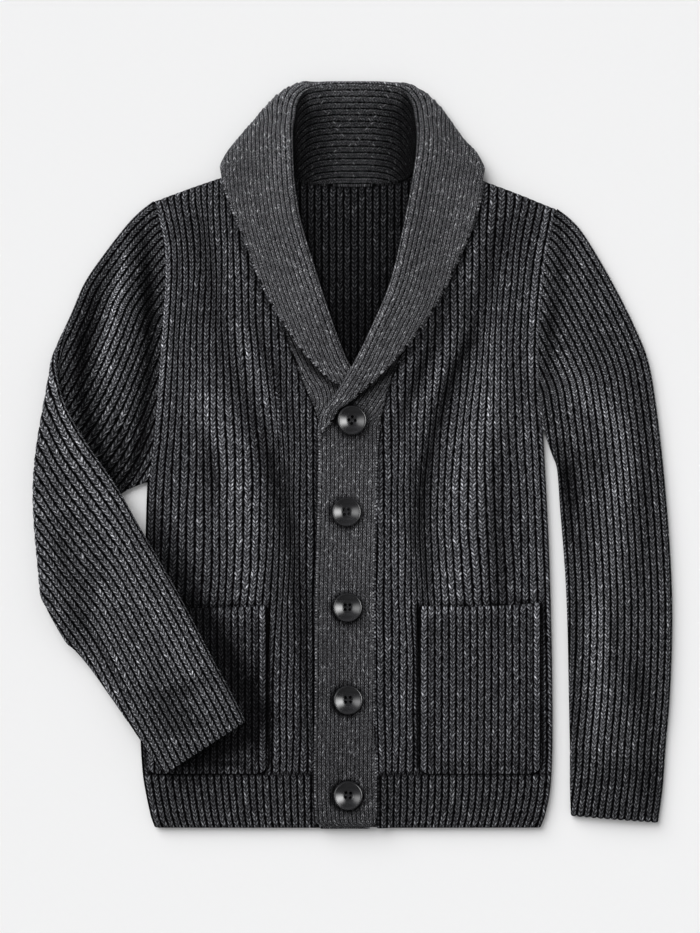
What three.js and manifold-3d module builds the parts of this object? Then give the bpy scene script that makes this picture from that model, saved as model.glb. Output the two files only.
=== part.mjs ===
// A shawl collar cardigan in chunky rib, buttoned and laid flat on its back, with one sleeve folded.
// Millimetres, +Z up, +Y from hem to collar. Left and right are the wearer's: left is +X.
import * as THREE from "three";
import { mergeVertices } from "three/addons/utils/BufferGeometryUtils.js";
import Module from "manifold-3d";

// Driving dimensions
const WALL = 4; // thickness of the ribbed cloth
const GAP = 0.3; // between two pieces that are sewn together or lie on each other
const SEAM_GAP = 0.9; // the same, measured level across a slanting seam
const NECK_GAP = 1.4; // added to it under the collar, where the band's edge tilts
const HEM_TOP = -328; // where the hem rib starts
const HEM_BOTTOM = -384;
const NECK_LIFT = 4.6; // how far the turned-under collar raises the back at the neck
const FRONT_REST = WALL + GAP; // underside of what lies on the back
const BAND_REST = 2 * (WALL + GAP); // underside of the upper front band
const SLEEVE_HEIGHT = 9.4; // two walls and the air between them
const FOLD_CENTRE = 11.4; // height about which the right sleeve turns over
const CUFF_LENGTH = 66;
const UNDER_BAND_EDGE = 18; // free edge of the under band, hidden below the upper one
const BUTTON_RADIUS = 15;
const BUTTON_HEIGHT = 5;
const HOLE_RADIUS = 1.4;
const HOLE_CIRCLE = 3.3;
const SHANK_RADIUS = 1.6;
const BUTTONHOLE = { length: 22, width: 4.4 };
const HEM_LEVELS = [HEM_BOTTOM, -378, -364, -346, HEM_TOP - GAP];
const HEM_PULL = 2; // how much narrower the hem is at its very bottom, on each side
const HEM_ENDS = { right: -33.2, left: 25.2 }; // where the front hems meet the bands
const NECK_RISE = { startY: 226, fullY: 258, fullX: 140, endX: 190 }; // where the lifted area lies
const FRONT_NECK = { share: 1.12, margin: 8 }; // the fronts rise a little more than the back, and sooner
const BAND_STEP = { fullX: 26, endX: 44, fullY: 20, endY: 70 }; // rise of the left front to the upper band
const FOREARM_DROP = { depth: 12, armX: -311, armY: -144, bodyX: -222, start: 2, reach: 62 };
const SLEEVE_HEAD = 70; // length over which a sleeve's rows turn to follow the armhole

// Turns rows of numbers into objects with named columns.
function table(columns, rows) {
  const names = columns.split(" ");
  return rows.map((row) => Object.fromEntries(names.map((name, index) => [name, row[index]])));
}

// The body's two side edges, from the hem to the shoulder tips
const SIDES = table("y right left", [
  [-384, -206, 195],
  [-355, -212.5, 202],
  [-328, -217, 205],
  [-280, -219.5, 206],
  [-190, -217, 205],
  [-100, -214.5, 202.5],
  [-25, -212, 199],
  [20, -207.5, 196.5],
  [68, -203.5, 193.5],
  [108, -200.5, 192.5],
  [150, -197.5, 194.5],
  [195, -195.5, 199],
  [227, -198, 204.5],
  [262, -207, 212],
]);
// Heights on each armhole, from the shoulder tip to the underarm, where its seam's corners lie
const ARMHOLE = {
  right: [261, 221, 175, 117, 59, 13, -27],
  left: [253, 221, 185, 139, 94, 58, 26],
};

// Rows across each front: where the row leaves the band's seam, and where it meets the side
const FRONT_ROWS = {
  right: table("seamY sideY", [
    [-328, -328], [-285, -285], [-241, -241], [-198, -198], [-155, -155], [-90, -85], [0, -27], [28, 13],
    [47, 36], [62, 59], [80, 88], [110, 117], [160, 150], [208, 175], [248, 221], [278, 241], [296, 253],
    [300, 261],
  ]),
  left: table("seamY sideY", [
    [-328, -328], [-285, -285], [-241, -241], [-198, -198], [-155, -155], [-100, -95], [-50, -50], [0, -10],
    [22, 26], [42, 42], [72, 58], [110, 94], [158, 139], [212, 185], [248, 221], [275, 236], [295, 246],
    [300, 253],
  ]),
};

// Columns across each front as parts of its width, from the band to the side; the pocket spans
// the columns from `pocketFrom` to `pocketTo`
const COLUMNS = {
  right: { at: [0, 0.08, 0.18, 0.295, 0.43, 0.56, 0.7, 0.84, 0.965, 1], pocketFrom: 3, pocketTo: 8 },
  left: { at: [0, 0.08, 0.165, 0.25, 0.38, 0.52, 0.66, 0.8, 0.935, 1], pocketFrom: 3, pocketTo: 8 },
};
const POCKET_ROWS = 4;

// The top edge of the back: shoulders and neck
const BACK_TOP = table("x y", [
  [-207, 261], [-163, 276.5], [-118, 292], [-75.5, 302], [-72.4, 296.4], [-67.8, 289.6], [-60.6, 284.4],
  [-51, 280.9], [-39, 278.7], [-26, 277.6], [0, 276.8], [25, 277.6], [37, 278.7], [48, 280.9], [57.4, 284],
  [64.2, 289.6], [67.2, 296.2], [70.4, 301], [114, 290], [160, 273], [212, 253],
]);

// Rows across the back by their heights on the two sides, and how much each follows the top edge
const BACK_ROWS = table("right left follow", [
  [-328, -328, 0], [-230, -220, 0], [-130, -100, 0], [-27, 26, 0.05], [13, 58, 0.1], [59, 94, 0.2],
  [117, 139, 0.35], [175, 185, 0.6], [203, 204, 0.74], [221, 221, 0.84], [241, 237, 0.92], [261, 253, 1],
]);

// Large soft ridges in the cloth: each runs between two points and fades at its ends
const RIDGES = table("x0 y0 x1 y1 width height", [
  [-117, 140, -131, 0, 20, 3.5],
  [-131, 0, -122, -120, 18, 2],
  [131, 90, 100, -98, 20, 3.5],
  [150, 150, 135, 60, 16, 2],
]);
const SLEEVE_RIDGES = table("x0 y0 x1 y1 width height", [
  [230, 70, 281, -20, 18, 2.5],
  [262, -160, 262, -270, 14, 2],
  [-235, 150, -250, 40, 20, 2.5],
]);

// Each half of the front band and collar. A row crosses the band from the seam (s) to the roll (a)
// at height `low`, then back at height `high`, settling to `rest`, towards the outline (f).
// `turn` is how much cloth goes round the outline and lies under the collar.
const BAND_LEFT = table("sx sy sz ax ay low high fx fy rest turn", [
  [23, -386, 10.6, -10, -386, 10.6, 10.6, -34, -386, 10.6, 0],
  [24.7, -378, 10.6, -10, -378, 10.6, 10.6, -39, -378, 10.6, 0],
  [24, -328, 10.6, -10, -328, 10.6, 10.6, -40, -328, 10.6, 0],
  [22, -241, 10.6, -10, -241, 10.6, 10.6, -39, -241, 10.6, 0],
  [21.2, -155, 10.6, -10, -155, 10.6, 10.6, -38.5, -155, 10.6, 0],
  [22, -100, 10.6, -9, -100, 10.6, 10.6, -37.3, -100, 10.6, 0],
  [23.3, -50, 10.6, -8, -50, 10.6, 10.6, -36, -50, 10.6, 0],
  [25, 0, 10.6, -31.5, 0, 10.7, 10.7, -35, 1, 10.7, 0],
  [25.8, 14, 10.5, -32.8, 14, 10.9, 11.6, -34.6, 15, 11.8, 0],
  [27.1, 28, 10.2, -33.2, 30, 11.6, 16, -23.5, 31, 16, 0],
  [28.1, 35, 9.8, -29.5, 43.5, 12.8, 17.9, -14, 46, 17.9, 0],
  [29, 42, 9.4, -19, 58, 15.2, 20.5, -1, 56, 19.8, 0],
  [37, 72, 7.4, 1, 91, 17.6, 22.6, 26, 80, 19.6, 0],
  [51, 110, 6.4, 20, 130, 9.6, 18.5, 55, 115, 13.5, 0],
  [69, 158, 6.4, 40, 178, 6.4, 15, 84, 161, 11.4, 0],
  [76.3, 212, 6.8, 53, 232, 9, 17, 113, 218, 13.8, 0],
  [74, 248, 10.6, 59, 262, 11.4, 19.5, 127, 252, 16.6, 0],
  [71, 275, 11.3, 63, 284, 11.5, 20.5, 134, 279, 17, 0],
  [68.4, 295, 11.3, 66, 303, 11.5, 20, 134.5, 294, 16.8, 3],
  [66.2, 305, 9, 67.5, 320, 10.6, 18.5, 126, 311, 14.6, 25],
  [64.6, 298.5, 6.9, 67.5, 336, 10.2, 16.5, 113, 325, 12.8, 50],
  [61.6, 291, 6.7, 67, 351, 10, 14, 100, 343, 11.6, 72],
  [56, 285.4, 6.5, 65, 363, 10, 12.4, 87, 360, 10.8, 90],
  [48, 282, 6.4, 60, 374, 10, 11, 72, 373, 10.2, 106],
  [37, 279.8, 6.4, 49, 378, 10, 10.2, 55, 381, 10, 116],
  [25, 278.7, 6.4, 33, 378, 10, 10, 36, 383.6, 10, 119],
  [12, 278, 6.4, 16, 378, 10, 10, 18, 384, 10, 120],
  [0.15, 277.8, 6.4, 0.15, 378, 10, 10, 0.15, 384, 10, 120],
]);
const BAND_RIGHT = table("sx sy sz ax ay low high fx fy rest turn", [
  [-31.5, -385, 6.3, -7, -385, 6.3, 6.3, 16, -385, 6.3, 0],
  [-32.7, -378, 6.3, -7, -378, 6.3, 6.3, UNDER_BAND_EDGE, -378, 6.3, 0],
  [-32.7, -250, 6.3, -7, -250, 6.3, 6.3, UNDER_BAND_EDGE, -250, 6.3, 0],
  [-32.7, -100, 6.3, -7, -100, 6.3, 6.3, UNDER_BAND_EDGE, -100, 6.3, 0],
  [-32.7, 0, 6.3, -7, 0, 6.3, 6.3, UNDER_BAND_EDGE, 0, 6.3, 0],
  [-33.5, 28, 6.3, -7, 32, 6.3, 6.3, 17, 36, 6.3, 0],
  [-38, 47, 6.3, 4, 60, 6.4, 6.5, 12, 62, 6.5, 0],
  [-44.5, 62, 6.3, 1, 82, 6.4, 10.8, -18, 74, 10.8, 0],
  [-52, 80, 6.4, -9, 101, 6.4, 13, -37, 90, 11, 0],
  [-64, 110, 6.4, -22, 135, 6.4, 14.6, -63, 122, 11.2, 0],
  [-77.5, 160, 6.4, -39, 187, 6.4, 15, -90, 173, 11.4, 0],
  [-81, 208, 6.8, -54, 236, 9, 17, -113, 224, 13.8, 0],
  [-79.3, 248, 10.6, -59, 262, 11.4, 19.5, -126, 255, 16.2, 0],
  [-76.6, 278, 11.3, -62, 284, 11.5, 20.5, -135, 282, 17.2, 0],
  [-74, 296, 11.3, -63, 303, 11.5, 20, -135.5, 296, 17, 3],
  [-71.3, 305, 9, -63.5, 320, 10.6, 18.5, -128, 312, 14.6, 24],
  [-70.1, 298.5, 6.9, -63.5, 336, 10.2, 16.5, -115, 328, 12.8, 52],
  [-66.2, 291, 6.7, -63, 351, 10, 14, -101, 344, 11.6, 73],
  [-60, 285.4, 6.5, -62, 363, 10, 12.4, -88, 359, 10.8, 90],
  [-51, 282, 6.4, -58, 374, 10, 11, -73, 373, 10.2, 106],
  [-39, 279.8, 6.4, -48, 378, 10, 10.2, -56, 381, 10, 116],
  [-26, 278.7, 6.4, -33, 378, 10, 10, -36, 383.6, 10, 119],
  [-12, 278, 6.4, -16, 378, 10, 10, -18, 384, 10, 120],
  [-0.15, 277.8, 6.4, -0.15, 378, 10, 10, -0.15, 384, 10, 120],
]);

// The edges of each sleeve where it lies: `over` from the shoulder tip, `under` from the underarm.
// Past the fold of the right sleeve, `level` is 1.
const SLEEVE_LEFT = {
  side: "left",
  over: table("x y level", [
    [212, 253, 0], [237, 226, 0], [264, 183, 0], [290, 135, 0], [305, 97, 0], [313, 52, 0], [320, -7, 0],
    [326, -76, 0], [329.5, -142, 0], [329.5, -195, 0], [327, -253, 0], [323, -300, 0], [320, -341, 0],
    [315, -379, 0],
  ]),
  under: table("x y level", [
    [197, 26, 0], [201, 14, 0], [206, 0, 0], [211, -15, 0], [214, -56, 0], [217, -93, 0], [220, -139, 0],
    [222, -196, 0], [223, -253, 0], [224, -300, 0], [224, -338, 0], [225, -372, 0],
  ]),
};
const SLEEVE_RIGHT = {
  side: "right",
  over: table("x y level", [
    [-207, 261, 0], [-232, 237, 0], [-257, 205, 0], [-277, 177, 0], [-291, 142, 0], [-291, 66, 1],
    [-275, 32, 1], [-250, -15, 1], [-224, -64, 1], [-200, -105, 1], [-176, -147, 1], [-144, -208, 1],
    [-126, -241, 1], [-110, -273, 1],
  ]),
  under: table("x y level", [
    [-212, -27, 0], [-233, -36, 0], [-253, -52, 0], [-274, -75, 0], [-293, -105, 0], [-297, -185, 1],
    [-285, -200, 1], [-272, -217, 1], [-258, -236, 1], [-245, -254, 1], [-232, -272, 1], [-213, -299, 1],
    [-193, -327, 1],
  ]),
};
// The right sleeve turns over about the line through these two points
const FOLD_LINE = { top: new THREE.Vector2(-294, 109), bottom: new THREE.Vector2(-306, -155) };
const FOLD_BOW = { out: 18, centreY: -25, halfLength: 110, reach: 70 };

const BUTTONS = table("x y tilt", [
  [-1, 36.5, 0.07],
  [-6.5, -58, 0],
  [-5.5, -156, 0],
  [-5, -251, 0],
  [-5, -349, 0],
]);

const clamp = THREE.MathUtils.clamp;
const lerp = THREE.MathUtils.lerp;
const smooth = (value, from, to) => THREE.MathUtils.smoothstep(value, from, to);

// The value of column `name` where column `key` is `at`, on a smooth line through the rows.
function read(rows, key, at, name) {
  const last = rows.length - 1;
  let k = rows.findIndex((row) => row[key] > at) - 1;
  if (k < 0) k = at >= rows[last][key] ? last - 1 : 0;
  const slope = (i) => {
    const before = rows[Math.max(i - 1, 0)];
    const after = rows[Math.min(i + 1, last)];
    return (after[name] - before[name]) / (after[key] - before[key]);
  };
  const span = rows[k + 1][key] - rows[k][key];
  const t = clamp((at - rows[k][key]) / span, 0, 1);
  const t2 = t * t;
  const t3 = t2 * t;
  return (2 * t3 - 3 * t2 + 1) * rows[k][name] + (t3 - 2 * t2 + t) * span * slope(k)
    + (3 * t2 - 2 * t3) * rows[k + 1][name] + (t3 - t2) * span * slope(k + 1);
}

// Height that the ridges add at a point
function ridgeHeight(ridges, x, y) {
  let height = 0;
  for (const ridge of ridges) {
    const dx = ridge.x1 - ridge.x0;
    const dy = ridge.y1 - ridge.y0;
    const part = clamp(((x - ridge.x0) * dx + (y - ridge.y0) * dy) / (dx * dx + dy * dy), 0, 1);
    const distance = Math.hypot(x - ridge.x0 - part * dx, y - ridge.y0 - part * dy) / ridge.width;
    height = Math.max(height, ridge.height * Math.exp(-distance * distance));
  }
  return height;
}

// How far the collar below raises the cloth near the neck; a wider `margin` starts the rise sooner
function neckLift(x, y, margin) {
  const { startY, fullY, fullX, endX } = NECK_RISE;
  const up = smooth(y, startY - margin, fullY - margin);
  return NECK_LIFT * up * (1 - smooth(Math.abs(x), fullX + 3 * margin, endX + 3 * margin));
}

// Underside of a front. Its edge along the upper band is raised to meet it.
function frontHeight(side, x, y) {
  const { fullX, endX, fullY, endY } = BAND_STEP;
  const nearBand = side === "left" ? (1 - smooth(x, fullX, endX)) * (1 - smooth(y, fullY, endY)) : 0;
  const lift = FRONT_NECK.share * neckLift(x, y, FRONT_NECK.margin);
  return FRONT_REST + lift + ridgeHeight(RIDGES, x, y) + (BAND_REST - FRONT_REST) * nearBand;
}

// Closed solid between two grids of points with the same rows and columns, `top` above `under`.
function solidBetween(under, top) {
  const rows = top.length;
  const columns = top[0].length;
  const points = [...top.flat(), ...under.flat()];
  const offset = rows * columns;
  const faces = [];
  const quad = (a, b, c, d) => faces.push(a, b, c, a, c, d);
  for (let i = 0; i + 1 < rows; i++) {
    for (let j = 0; j + 1 < columns; j++) {
      const p = i * columns + j;
      quad(p, p + 1, p + 1 + columns, p + columns);
      quad(offset + p, offset + p + columns, offset + p + 1 + columns, offset + p + 1);
    }
  }
  const rim = (a, b) => quad(a, a + offset, b + offset, b);
  for (let j = 0; j + 1 < columns; j++) {
    rim(j, j + 1);
    rim((rows - 1) * columns + j + 1, (rows - 1) * columns + j);
  }
  for (let i = 0; i + 1 < rows; i++) {
    rim((i + 1) * columns, i * columns);
    rim((i + 1) * columns - 1, (i + 2) * columns - 1);
  }
  return closedGeometry(points, faces);
}

// Closed tube wall between two stacks of rings
function tubeWall(outer, inner) {
  const rings = outer.length;
  const around = outer[0].length;
  const points = [...outer.flat(), ...inner.flat()];
  const offset = rings * around;
  const faces = [];
  const quad = (a, b, c, d) => faces.push(a, b, c, a, c, d);
  for (let j = 0; j < around; j++) {
    const next = (j + 1) % around;
    for (let i = 0; i + 1 < rings; i++) {
      const a = i * around;
      const b = a + around;
      quad(a + j, a + next, b + next, b + j);
      quad(offset + a + j, offset + b + j, offset + b + next, offset + a + next);
    }
    const end = (rings - 1) * around;
    quad(j, offset + j, offset + next, next);
    quad(end + next, offset + end + next, offset + end + j, end + j);
  }
  return closedGeometry(points, faces);
}

// Geometry from points and faces, turned so that its faces point outwards
function closedGeometry(points, faces) {
  let volume = 0;
  const cross = new THREE.Vector3();
  for (let f = 0; f < faces.length; f += 3) {
    cross.crossVectors(points[faces[f + 1]], points[faces[f + 2]]);
    volume += points[faces[f]].dot(cross);
  }
  if (volume < 0) faces.reverse();
  const geometry = new THREE.BufferGeometry();
  geometry.setAttribute("position", new THREE.Float32BufferAttribute(points.flatMap((p) => p.toArray()), 3));
  geometry.setIndex(faces);
  geometry.computeVertexNormals();
  return geometry;
}

const raised = (grid, height) => grid.map((row) => row.map((p) => p.clone().setZ(p.z + height)));

// A panel of one wall whose underside is `grid`
const panel = (grid) => solidBetween(grid, raised(grid, WALL));

// Where the band's seam lies at a height
function seamX(band, y) {
  const k = band.findIndex((row) => row.sy >= y);
  const [a, b] = [band[k - 1], band[k]];
  return lerp(a.sx, b.sx, (y - a.sy) / (b.sy - a.sy));
}

// Fronts, as a grid of underside points
function frontGrid(side, band) {
  const outward = side === "right" ? -1 : 1;
  return FRONT_ROWS[side].map(({ seamY, sideY }) => {
    const gap = SEAM_GAP + NECK_GAP * smooth(seamY, 250, 290);
    const seam = seamX(band, seamY) + outward * gap;
    const edge = read(SIDES, "y", sideY, side);
    return COLUMNS[side].at.map((part) => {
      const x = lerp(seam, edge, part);
      const y = lerp(seamY, sideY, part);
      return new THREE.Vector3(x, y, frontHeight(side, x, y));
    });
  });
}

function hemGrid(fromX, toX, heightAt, parts) {
  return HEM_LEVELS.map((y) => {
    const pull = y === HEM_BOTTOM ? HEM_PULL : 0;
    const low = fromX(y) + (fromX(y) < HEM_ENDS.right ? pull : 0);
    const high = toX(y) - (toX(y) > HEM_ENDS.left ? pull : 0);
    return parts.map((part) => {
      const x = lerp(low, high, part);
      return new THREE.Vector3(x, y, heightAt(x, y));
    });
  });
}

// Back, as a grid of underside points with rows that bend up to the shoulders
function backGrid() {
  const [first, last] = [BACK_TOP[0], BACK_TOP[BACK_TOP.length - 1]];
  return BACK_ROWS.map((row) => BACK_TOP.map((top) => {
    const part = (top.x - first.x) / (last.x - first.x);
    const climb = top.y - lerp(first.y, last.y, part);
    const y = lerp(row.right, row.left, part) + climb * row.follow;
    const x = lerp(read(SIDES, "y", row.right, "right"), read(SIDES, "y", row.left, "left"), part);
    return new THREE.Vector3(x, y, neckLift(x, y, 0));
  }));
}

// One half of the band and collar: the middle surface of its wall, seam edge first
function bandSurface(rows) {
  const outward = Math.sign(rows[Math.floor(rows.length / 2)].fx);
  return rows.map((row, index) => {
    const seam = new THREE.Vector2(row.sx, row.sy);
    const roll = new THREE.Vector2(row.ax, row.ay);
    const outline = new THREE.Vector2(row.fx, row.fy);
    const stand = roll.clone().sub(seam);
    const fall = outline.clone().sub(roll);
    const before = rows[Math.max(index - 1, 0)];
    const after = rows[Math.min(index + 1, rows.length - 1)];
    const edge = new THREE.Vector2(after.fx - before.fx, after.fy - before.fy).normalize();
    const away = new THREE.Vector2(edge.y, -edge.x).multiplyScalar(outward);
    const radius = (row.rest - WALL / 2) / 2;
    const lift = row.high - row.low;
    const points = [];
    for (const part of [0, 0.3, 0.62, 1]) {
      const reach = Math.max(stand.length() - 0.35 * lift, 1) / stand.length();
      const at = seam.clone().addScaledVector(stand, part * reach);
      points.push(new THREE.Vector3(at.x, at.y, lerp(row.sz, row.low, Math.min(1, part * 1.3))));
    }
    const standWay = stand.clone().normalize();
    const tip = roll.clone().addScaledVector(standWay, -0.02 * lift);
    points.push(new THREE.Vector3(tip.x, tip.y, lerp(row.low, row.high, 0.5)));
    const width = fall.length() + row.turn;
    const axis = outline.clone().addScaledVector(away, -radius);
    const fallWay = fall.clone().normalize();
    const start = Math.min(0.4 * lift + 1, 0.3 * fall.length());
    const toAxis = axis.clone().sub(roll).dot(away) / Math.max(fallWay.dot(away), 0.3);
    const bend = clamp(row.turn > 0 ? toAxis : 0.62 * width, start + 0.5, 0.9 * width);
    const round = Math.min(Math.PI * radius, 0.75 * (width - bend));
    const stops = [0, 0.35, 0.7, 1].map((part) => lerp(start, bend, part));
    stops.push(...[0.25, 0.5, 0.75, 1].map((part) => bend + part * round));
    stops.push(lerp(bend + round, width, 0.5), width);
    for (const along of stops) {
      const flat = roll.clone().addScaledVector(fallWay, along);
      const settle = row.rest + (row.high - row.rest) * Math.exp(-((along - start) / 16));
      const past = row.turn > 0 ? flat.clone().sub(axis).dot(away) : 0;
      const angle = clamp(past / radius, 0, Math.PI);
      const shift = past <= 0 ? 0 : radius * Math.sin(angle) - Math.max(0, past - Math.PI * radius) - past;
      flat.addScaledVector(away, shift);
      points.push(new THREE.Vector3(flat.x, flat.y, lerp(WALL / 2, settle, (1 + Math.cos(angle)) / 2)));
    }
    return points;
  });
}

// A wall of even thickness about a middle surface
function wallAbout(surface) {
  const last = surface.length - 1;
  const end = surface[0].length - 1;
  const shifted = (distance) => surface.map((row, i) => row.map((point, j) => {
    const along = surface[Math.min(i + 1, last)][j].clone().sub(surface[Math.max(i - 1, 0)][j]);
    const across = row[Math.min(j + 1, end)].clone().sub(row[Math.max(j - 1, 0)]);
    return point.clone().addScaledVector(across.cross(along).normalize(), distance);
  }));
  return solidBetween(shifted(-WALL / 2), shifted(WALL / 2));
}

// The line of the right sleeve's fold, and how far a point lies past it
const foldWay = FOLD_LINE.bottom.clone().sub(FOLD_LINE.top).normalize();
const foldAway = new THREE.Vector2(foldWay.y, -foldWay.x);
const foldRadius = FOLD_CENTRE - SLEEVE_HEIGHT / 2;
const pastFold = (point) => point.clone().sub(FOLD_LINE.top).dot(foldAway);

// Where a point of the forearm lies when the sleeve is opened out flat
function openedOut(row) {
  const point = new THREE.Vector2(row.x, row.y);
  const shift = row.level ? Math.PI * foldRadius - 2 * pastFold(point) : 0;
  return point.addScaledVector(foldAway, shift);
}

// How far the folded forearm sinks where it has passed the body's side and the upper arm
function forearmDrop(x, y) {
  const { depth, armX, armY, bodyX, start, reach } = FOREARM_DROP;
  const pastArm = (x - armX) * 0.76 - (y - armY) * 0.65;
  const pastBody = bodyX - x;
  return depth * smooth(Math.min(pastArm, pastBody), start, reach);
}

// Folds a point of the opened sleeve, at height `h` in it, into place
function folded(point, h) {
  const past = pastFold(point);
  const angle = clamp(past / foldRadius, 0, Math.PI);
  const radius = FOLD_CENTRE - h;
  const beyond = Math.max(0, past - Math.PI * foldRadius);
  const shift = past <= 0 ? 0 : radius * Math.sin(angle) - beyond - past;
  const place = point.clone().addScaledVector(foldAway, shift);
  const bow = Math.exp(-(((place.y - FOLD_BOW.centreY) / FOLD_BOW.halfLength) ** 2));
  const near = 1 - smooth(place.x, FOLD_LINE.top.x - 5, FOLD_LINE.top.x - 5 + FOLD_BOW.reach);
  const drop = forearmDrop(place.x, place.y) * smooth(beyond, 0, 45);
  const z = FOLD_CENTRE - radius * Math.cos(angle) - drop;
  return new THREE.Vector3(place.x - FOLD_BOW.out * bow * near, place.y, z);
}

// A sleeve opened out: a point between its two edges, `overAt` and `underAt` mm along them
function openSleeve(sleeve) {
  const curve = (rows) => new THREE.CatmullRomCurve3(rows.map((row) => {
    const open = sleeve.side === "right" ? openedOut(row) : new THREE.Vector2(row.x, row.y);
    return new THREE.Vector3(open.x, open.y, 0);
  }));
  const over = curve(sleeve.over);
  const under = curve(sleeve.under);
  over.arcLengthDivisions = 600;
  under.arcLengthDivisions = 600;
  const [tipY] = ARMHOLE[sleeve.side];
  const pitY = ARMHOLE[sleeve.side].at(-1);
  const outward = sleeve.side === "right" ? -1 : 1;
  return {
    overLength: over.getLength(),
    underLength: under.getLength(),
    at(overAt, underAt, part) {
      const a = over.getPointAt(clamp(overAt / over.getLength(), 0, 1));
      const b = under.getPointAt(clamp(underAt / under.getLength(), 0, 1));
      const point = new THREE.Vector2(lerp(a.x, b.x, part), lerp(a.y, b.y, part));
      const seamY = lerp(tipY, pitY, part);
      const seam = new THREE.Vector2(read(SIDES, "y", seamY, sleeve.side) + outward * GAP, seamY);
      return point.lerp(seam, 1 - smooth(overAt, 0, SLEEVE_HEAD));
    },
  };
}

// Section of a flattened tube: across it from 0 to `width`, and up, for the outside and the inside.
// `parts` are the places across it where its corners lie.
function flatSection(width, parts) {
  const radius = SLEEVE_HEIGHT / 2;
  const inside = radius - WALL;
  const section = [];
  const flat = (part, low, high, top) => {
    const across = clamp(part * width, radius, width - radius);
    section.push({ across: [across, across], up: [low, high], top });
  };
  const corner = (centre, angles) => {
    for (const angle of angles) {
      const way = new THREE.Vector2(Math.cos(angle), Math.sin(angle));
      const across = [centre + radius * way.x, centre + inside * way.x];
      section.push({ across, up: [radius * (1 + way.y), radius + inside * way.y], top: 0 });
    }
  };
  parts.forEach((part) => flat(part, 0, WALL, 0));
  corner(width - radius, [-Math.PI / 4, 0, Math.PI / 4]);
  parts.toReversed().forEach((part) => flat(part, SLEEVE_HEIGHT, SLEEVE_HEIGHT - WALL, 1));
  corner(radius, [(3 * Math.PI) / 4, Math.PI, (5 * Math.PI) / 4]);
  return section;
}

function sleevePiece(sleeve, stations) {
  const open = openSleeve(sleeve);
  const heights = ARMHOLE[sleeve.side];
  const parts = heights.map((y) => (heights[0] - y) / (heights[0] - heights.at(-1)));
  const rings = [[], []];
  for (const station of stations(open)) {
    const a = open.at(station.over, station.under, 0);
    const b = open.at(station.over, station.under, 1);
    const width = a.distanceTo(b);
    const section = flatSection(width, parts);
    [0, 1].forEach((layer) => {
      rings[layer].push(section.map(({ across, up, top }) => {
        const point = open.at(station.over, station.under, across[layer] / width);
        const ridge = top * ridgeHeight(SLEEVE_RIDGES, point.x, point.y);
        if (sleeve.side === "right") return folded(point, up[layer] + ridge);
        return new THREE.Vector3(point.x, point.y, up[layer] + ridge);
      }));
    });
  }
  return tubeWall(rings[0], rings[1]);
}

const sleeveStations = (count) => (open) => Array.from({ length: count + 1 }, (_, i) => ({
  over: (i / count) * (open.overLength - CUFF_LENGTH - GAP),
  under: (i / count) * (open.underLength - CUFF_LENGTH - GAP),
}));

const cuffStations = (open) => [0, 0.33, 0.66, 1].map((part) => ({
  over: open.overLength - CUFF_LENGTH * (1 - part),
  under: open.underLength - CUFF_LENGTH * (1 - part),
}));

// Button with a raised rim, a dished face and four holes
const wasm = await Module();
wasm.setup();

function toManifold(geometry) {
  const bare = geometry.clone();
  bare.deleteAttribute("normal");
  bare.deleteAttribute("uv");
  const merged = mergeVertices(bare, 1e-4);
  return new wasm.Manifold(new wasm.Mesh({
    numProp: 3,
    vertProperties: new Float32Array(merged.attributes.position.array),
    triVerts: new Uint32Array(merged.index.array),
  }));
}

function toGeometry(solid) {
  const mesh = solid.getMesh();
  const geometry = new THREE.BufferGeometry();
  geometry.setAttribute("position", new THREE.Float32BufferAttribute(mesh.vertProperties, 3));
  geometry.setIndex(Array.from(mesh.triVerts));
  geometry.computeVertexNormals();
  return geometry;
}

function standingCylinder(radius, height, x, y, z, sides) {
  const geometry = new THREE.CylinderGeometry(radius, radius, height, sides);
  geometry.rotateX(Math.PI / 2);
  geometry.translate(x, y, z + height / 2);
  return geometry;
}

function buttonGeometry() {
  const profile = [
    [0, 0], [9, 0], [13.2, 1.2], [BUTTON_RADIUS, 2.9], [14.6, 4.2], [13.4, BUTTON_HEIGHT], [12, 4.7],
    [10.4, 3.4], [5.9, 2.8], [5.2, 2.2], [0, 2.2],
  ];
  const lathe = new THREE.LatheGeometry(profile.map(([r, h]) => new THREE.Vector2(r, h)), 32);
  lathe.rotateX(Math.PI / 2);
  let solid = toManifold(lathe);
  for (let hole = 0; hole < 4; hole++) {
    const angle = 0.2 + (hole * Math.PI) / 2;
    const x = HOLE_CIRCLE * Math.cos(angle);
    const y = HOLE_CIRCLE * Math.sin(angle);
    solid = solid.subtract(toManifold(standingCylinder(HOLE_RADIUS, 8, x, y, -2, 10)));
  }
  return toGeometry(solid);
}

// Height of the upper band's top at a button, from the rows of its table
function bandTop(y) {
  const placket = BAND_LEFT.filter((row) => row.sy < 60);
  return read(placket, "sy", y, "low") + WALL / 2;
}

function bandLeftGeometry() {
  let solid = toManifold(wallAbout(bandSurface(BAND_LEFT)));
  for (const button of BUTTONS) {
    const slot = new THREE.BoxGeometry(BUTTONHOLE.length, BUTTONHOLE.width, 30);
    slot.translate(button.x, button.y, bandTop(button.y));
    solid = solid.subtract(toManifold(slot));
  }
  return toGeometry(solid);
}

// Materials
const clothRib = () => new THREE.MeshStandardMaterial({ color: 0x343538, roughness: 0.95, metalness: 0 });
const bandRib = () => new THREE.MeshStandardMaterial({ color: 0x424246, roughness: 0.95, metalness: 0 });
const horn = () => new THREE.MeshStandardMaterial({ color: 0x1b1b1d, roughness: 0.25, metalness: 0 });
const thread = () => new THREE.MeshStandardMaterial({ color: 0x161617, roughness: 0.8, metalness: 0 });

const group = new THREE.Group();

function add(name, geometry, material, parent = group) {
  const mesh = new THREE.Mesh(geometry, material);
  mesh.name = name;
  parent.add(mesh);
  return mesh;
}

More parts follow.
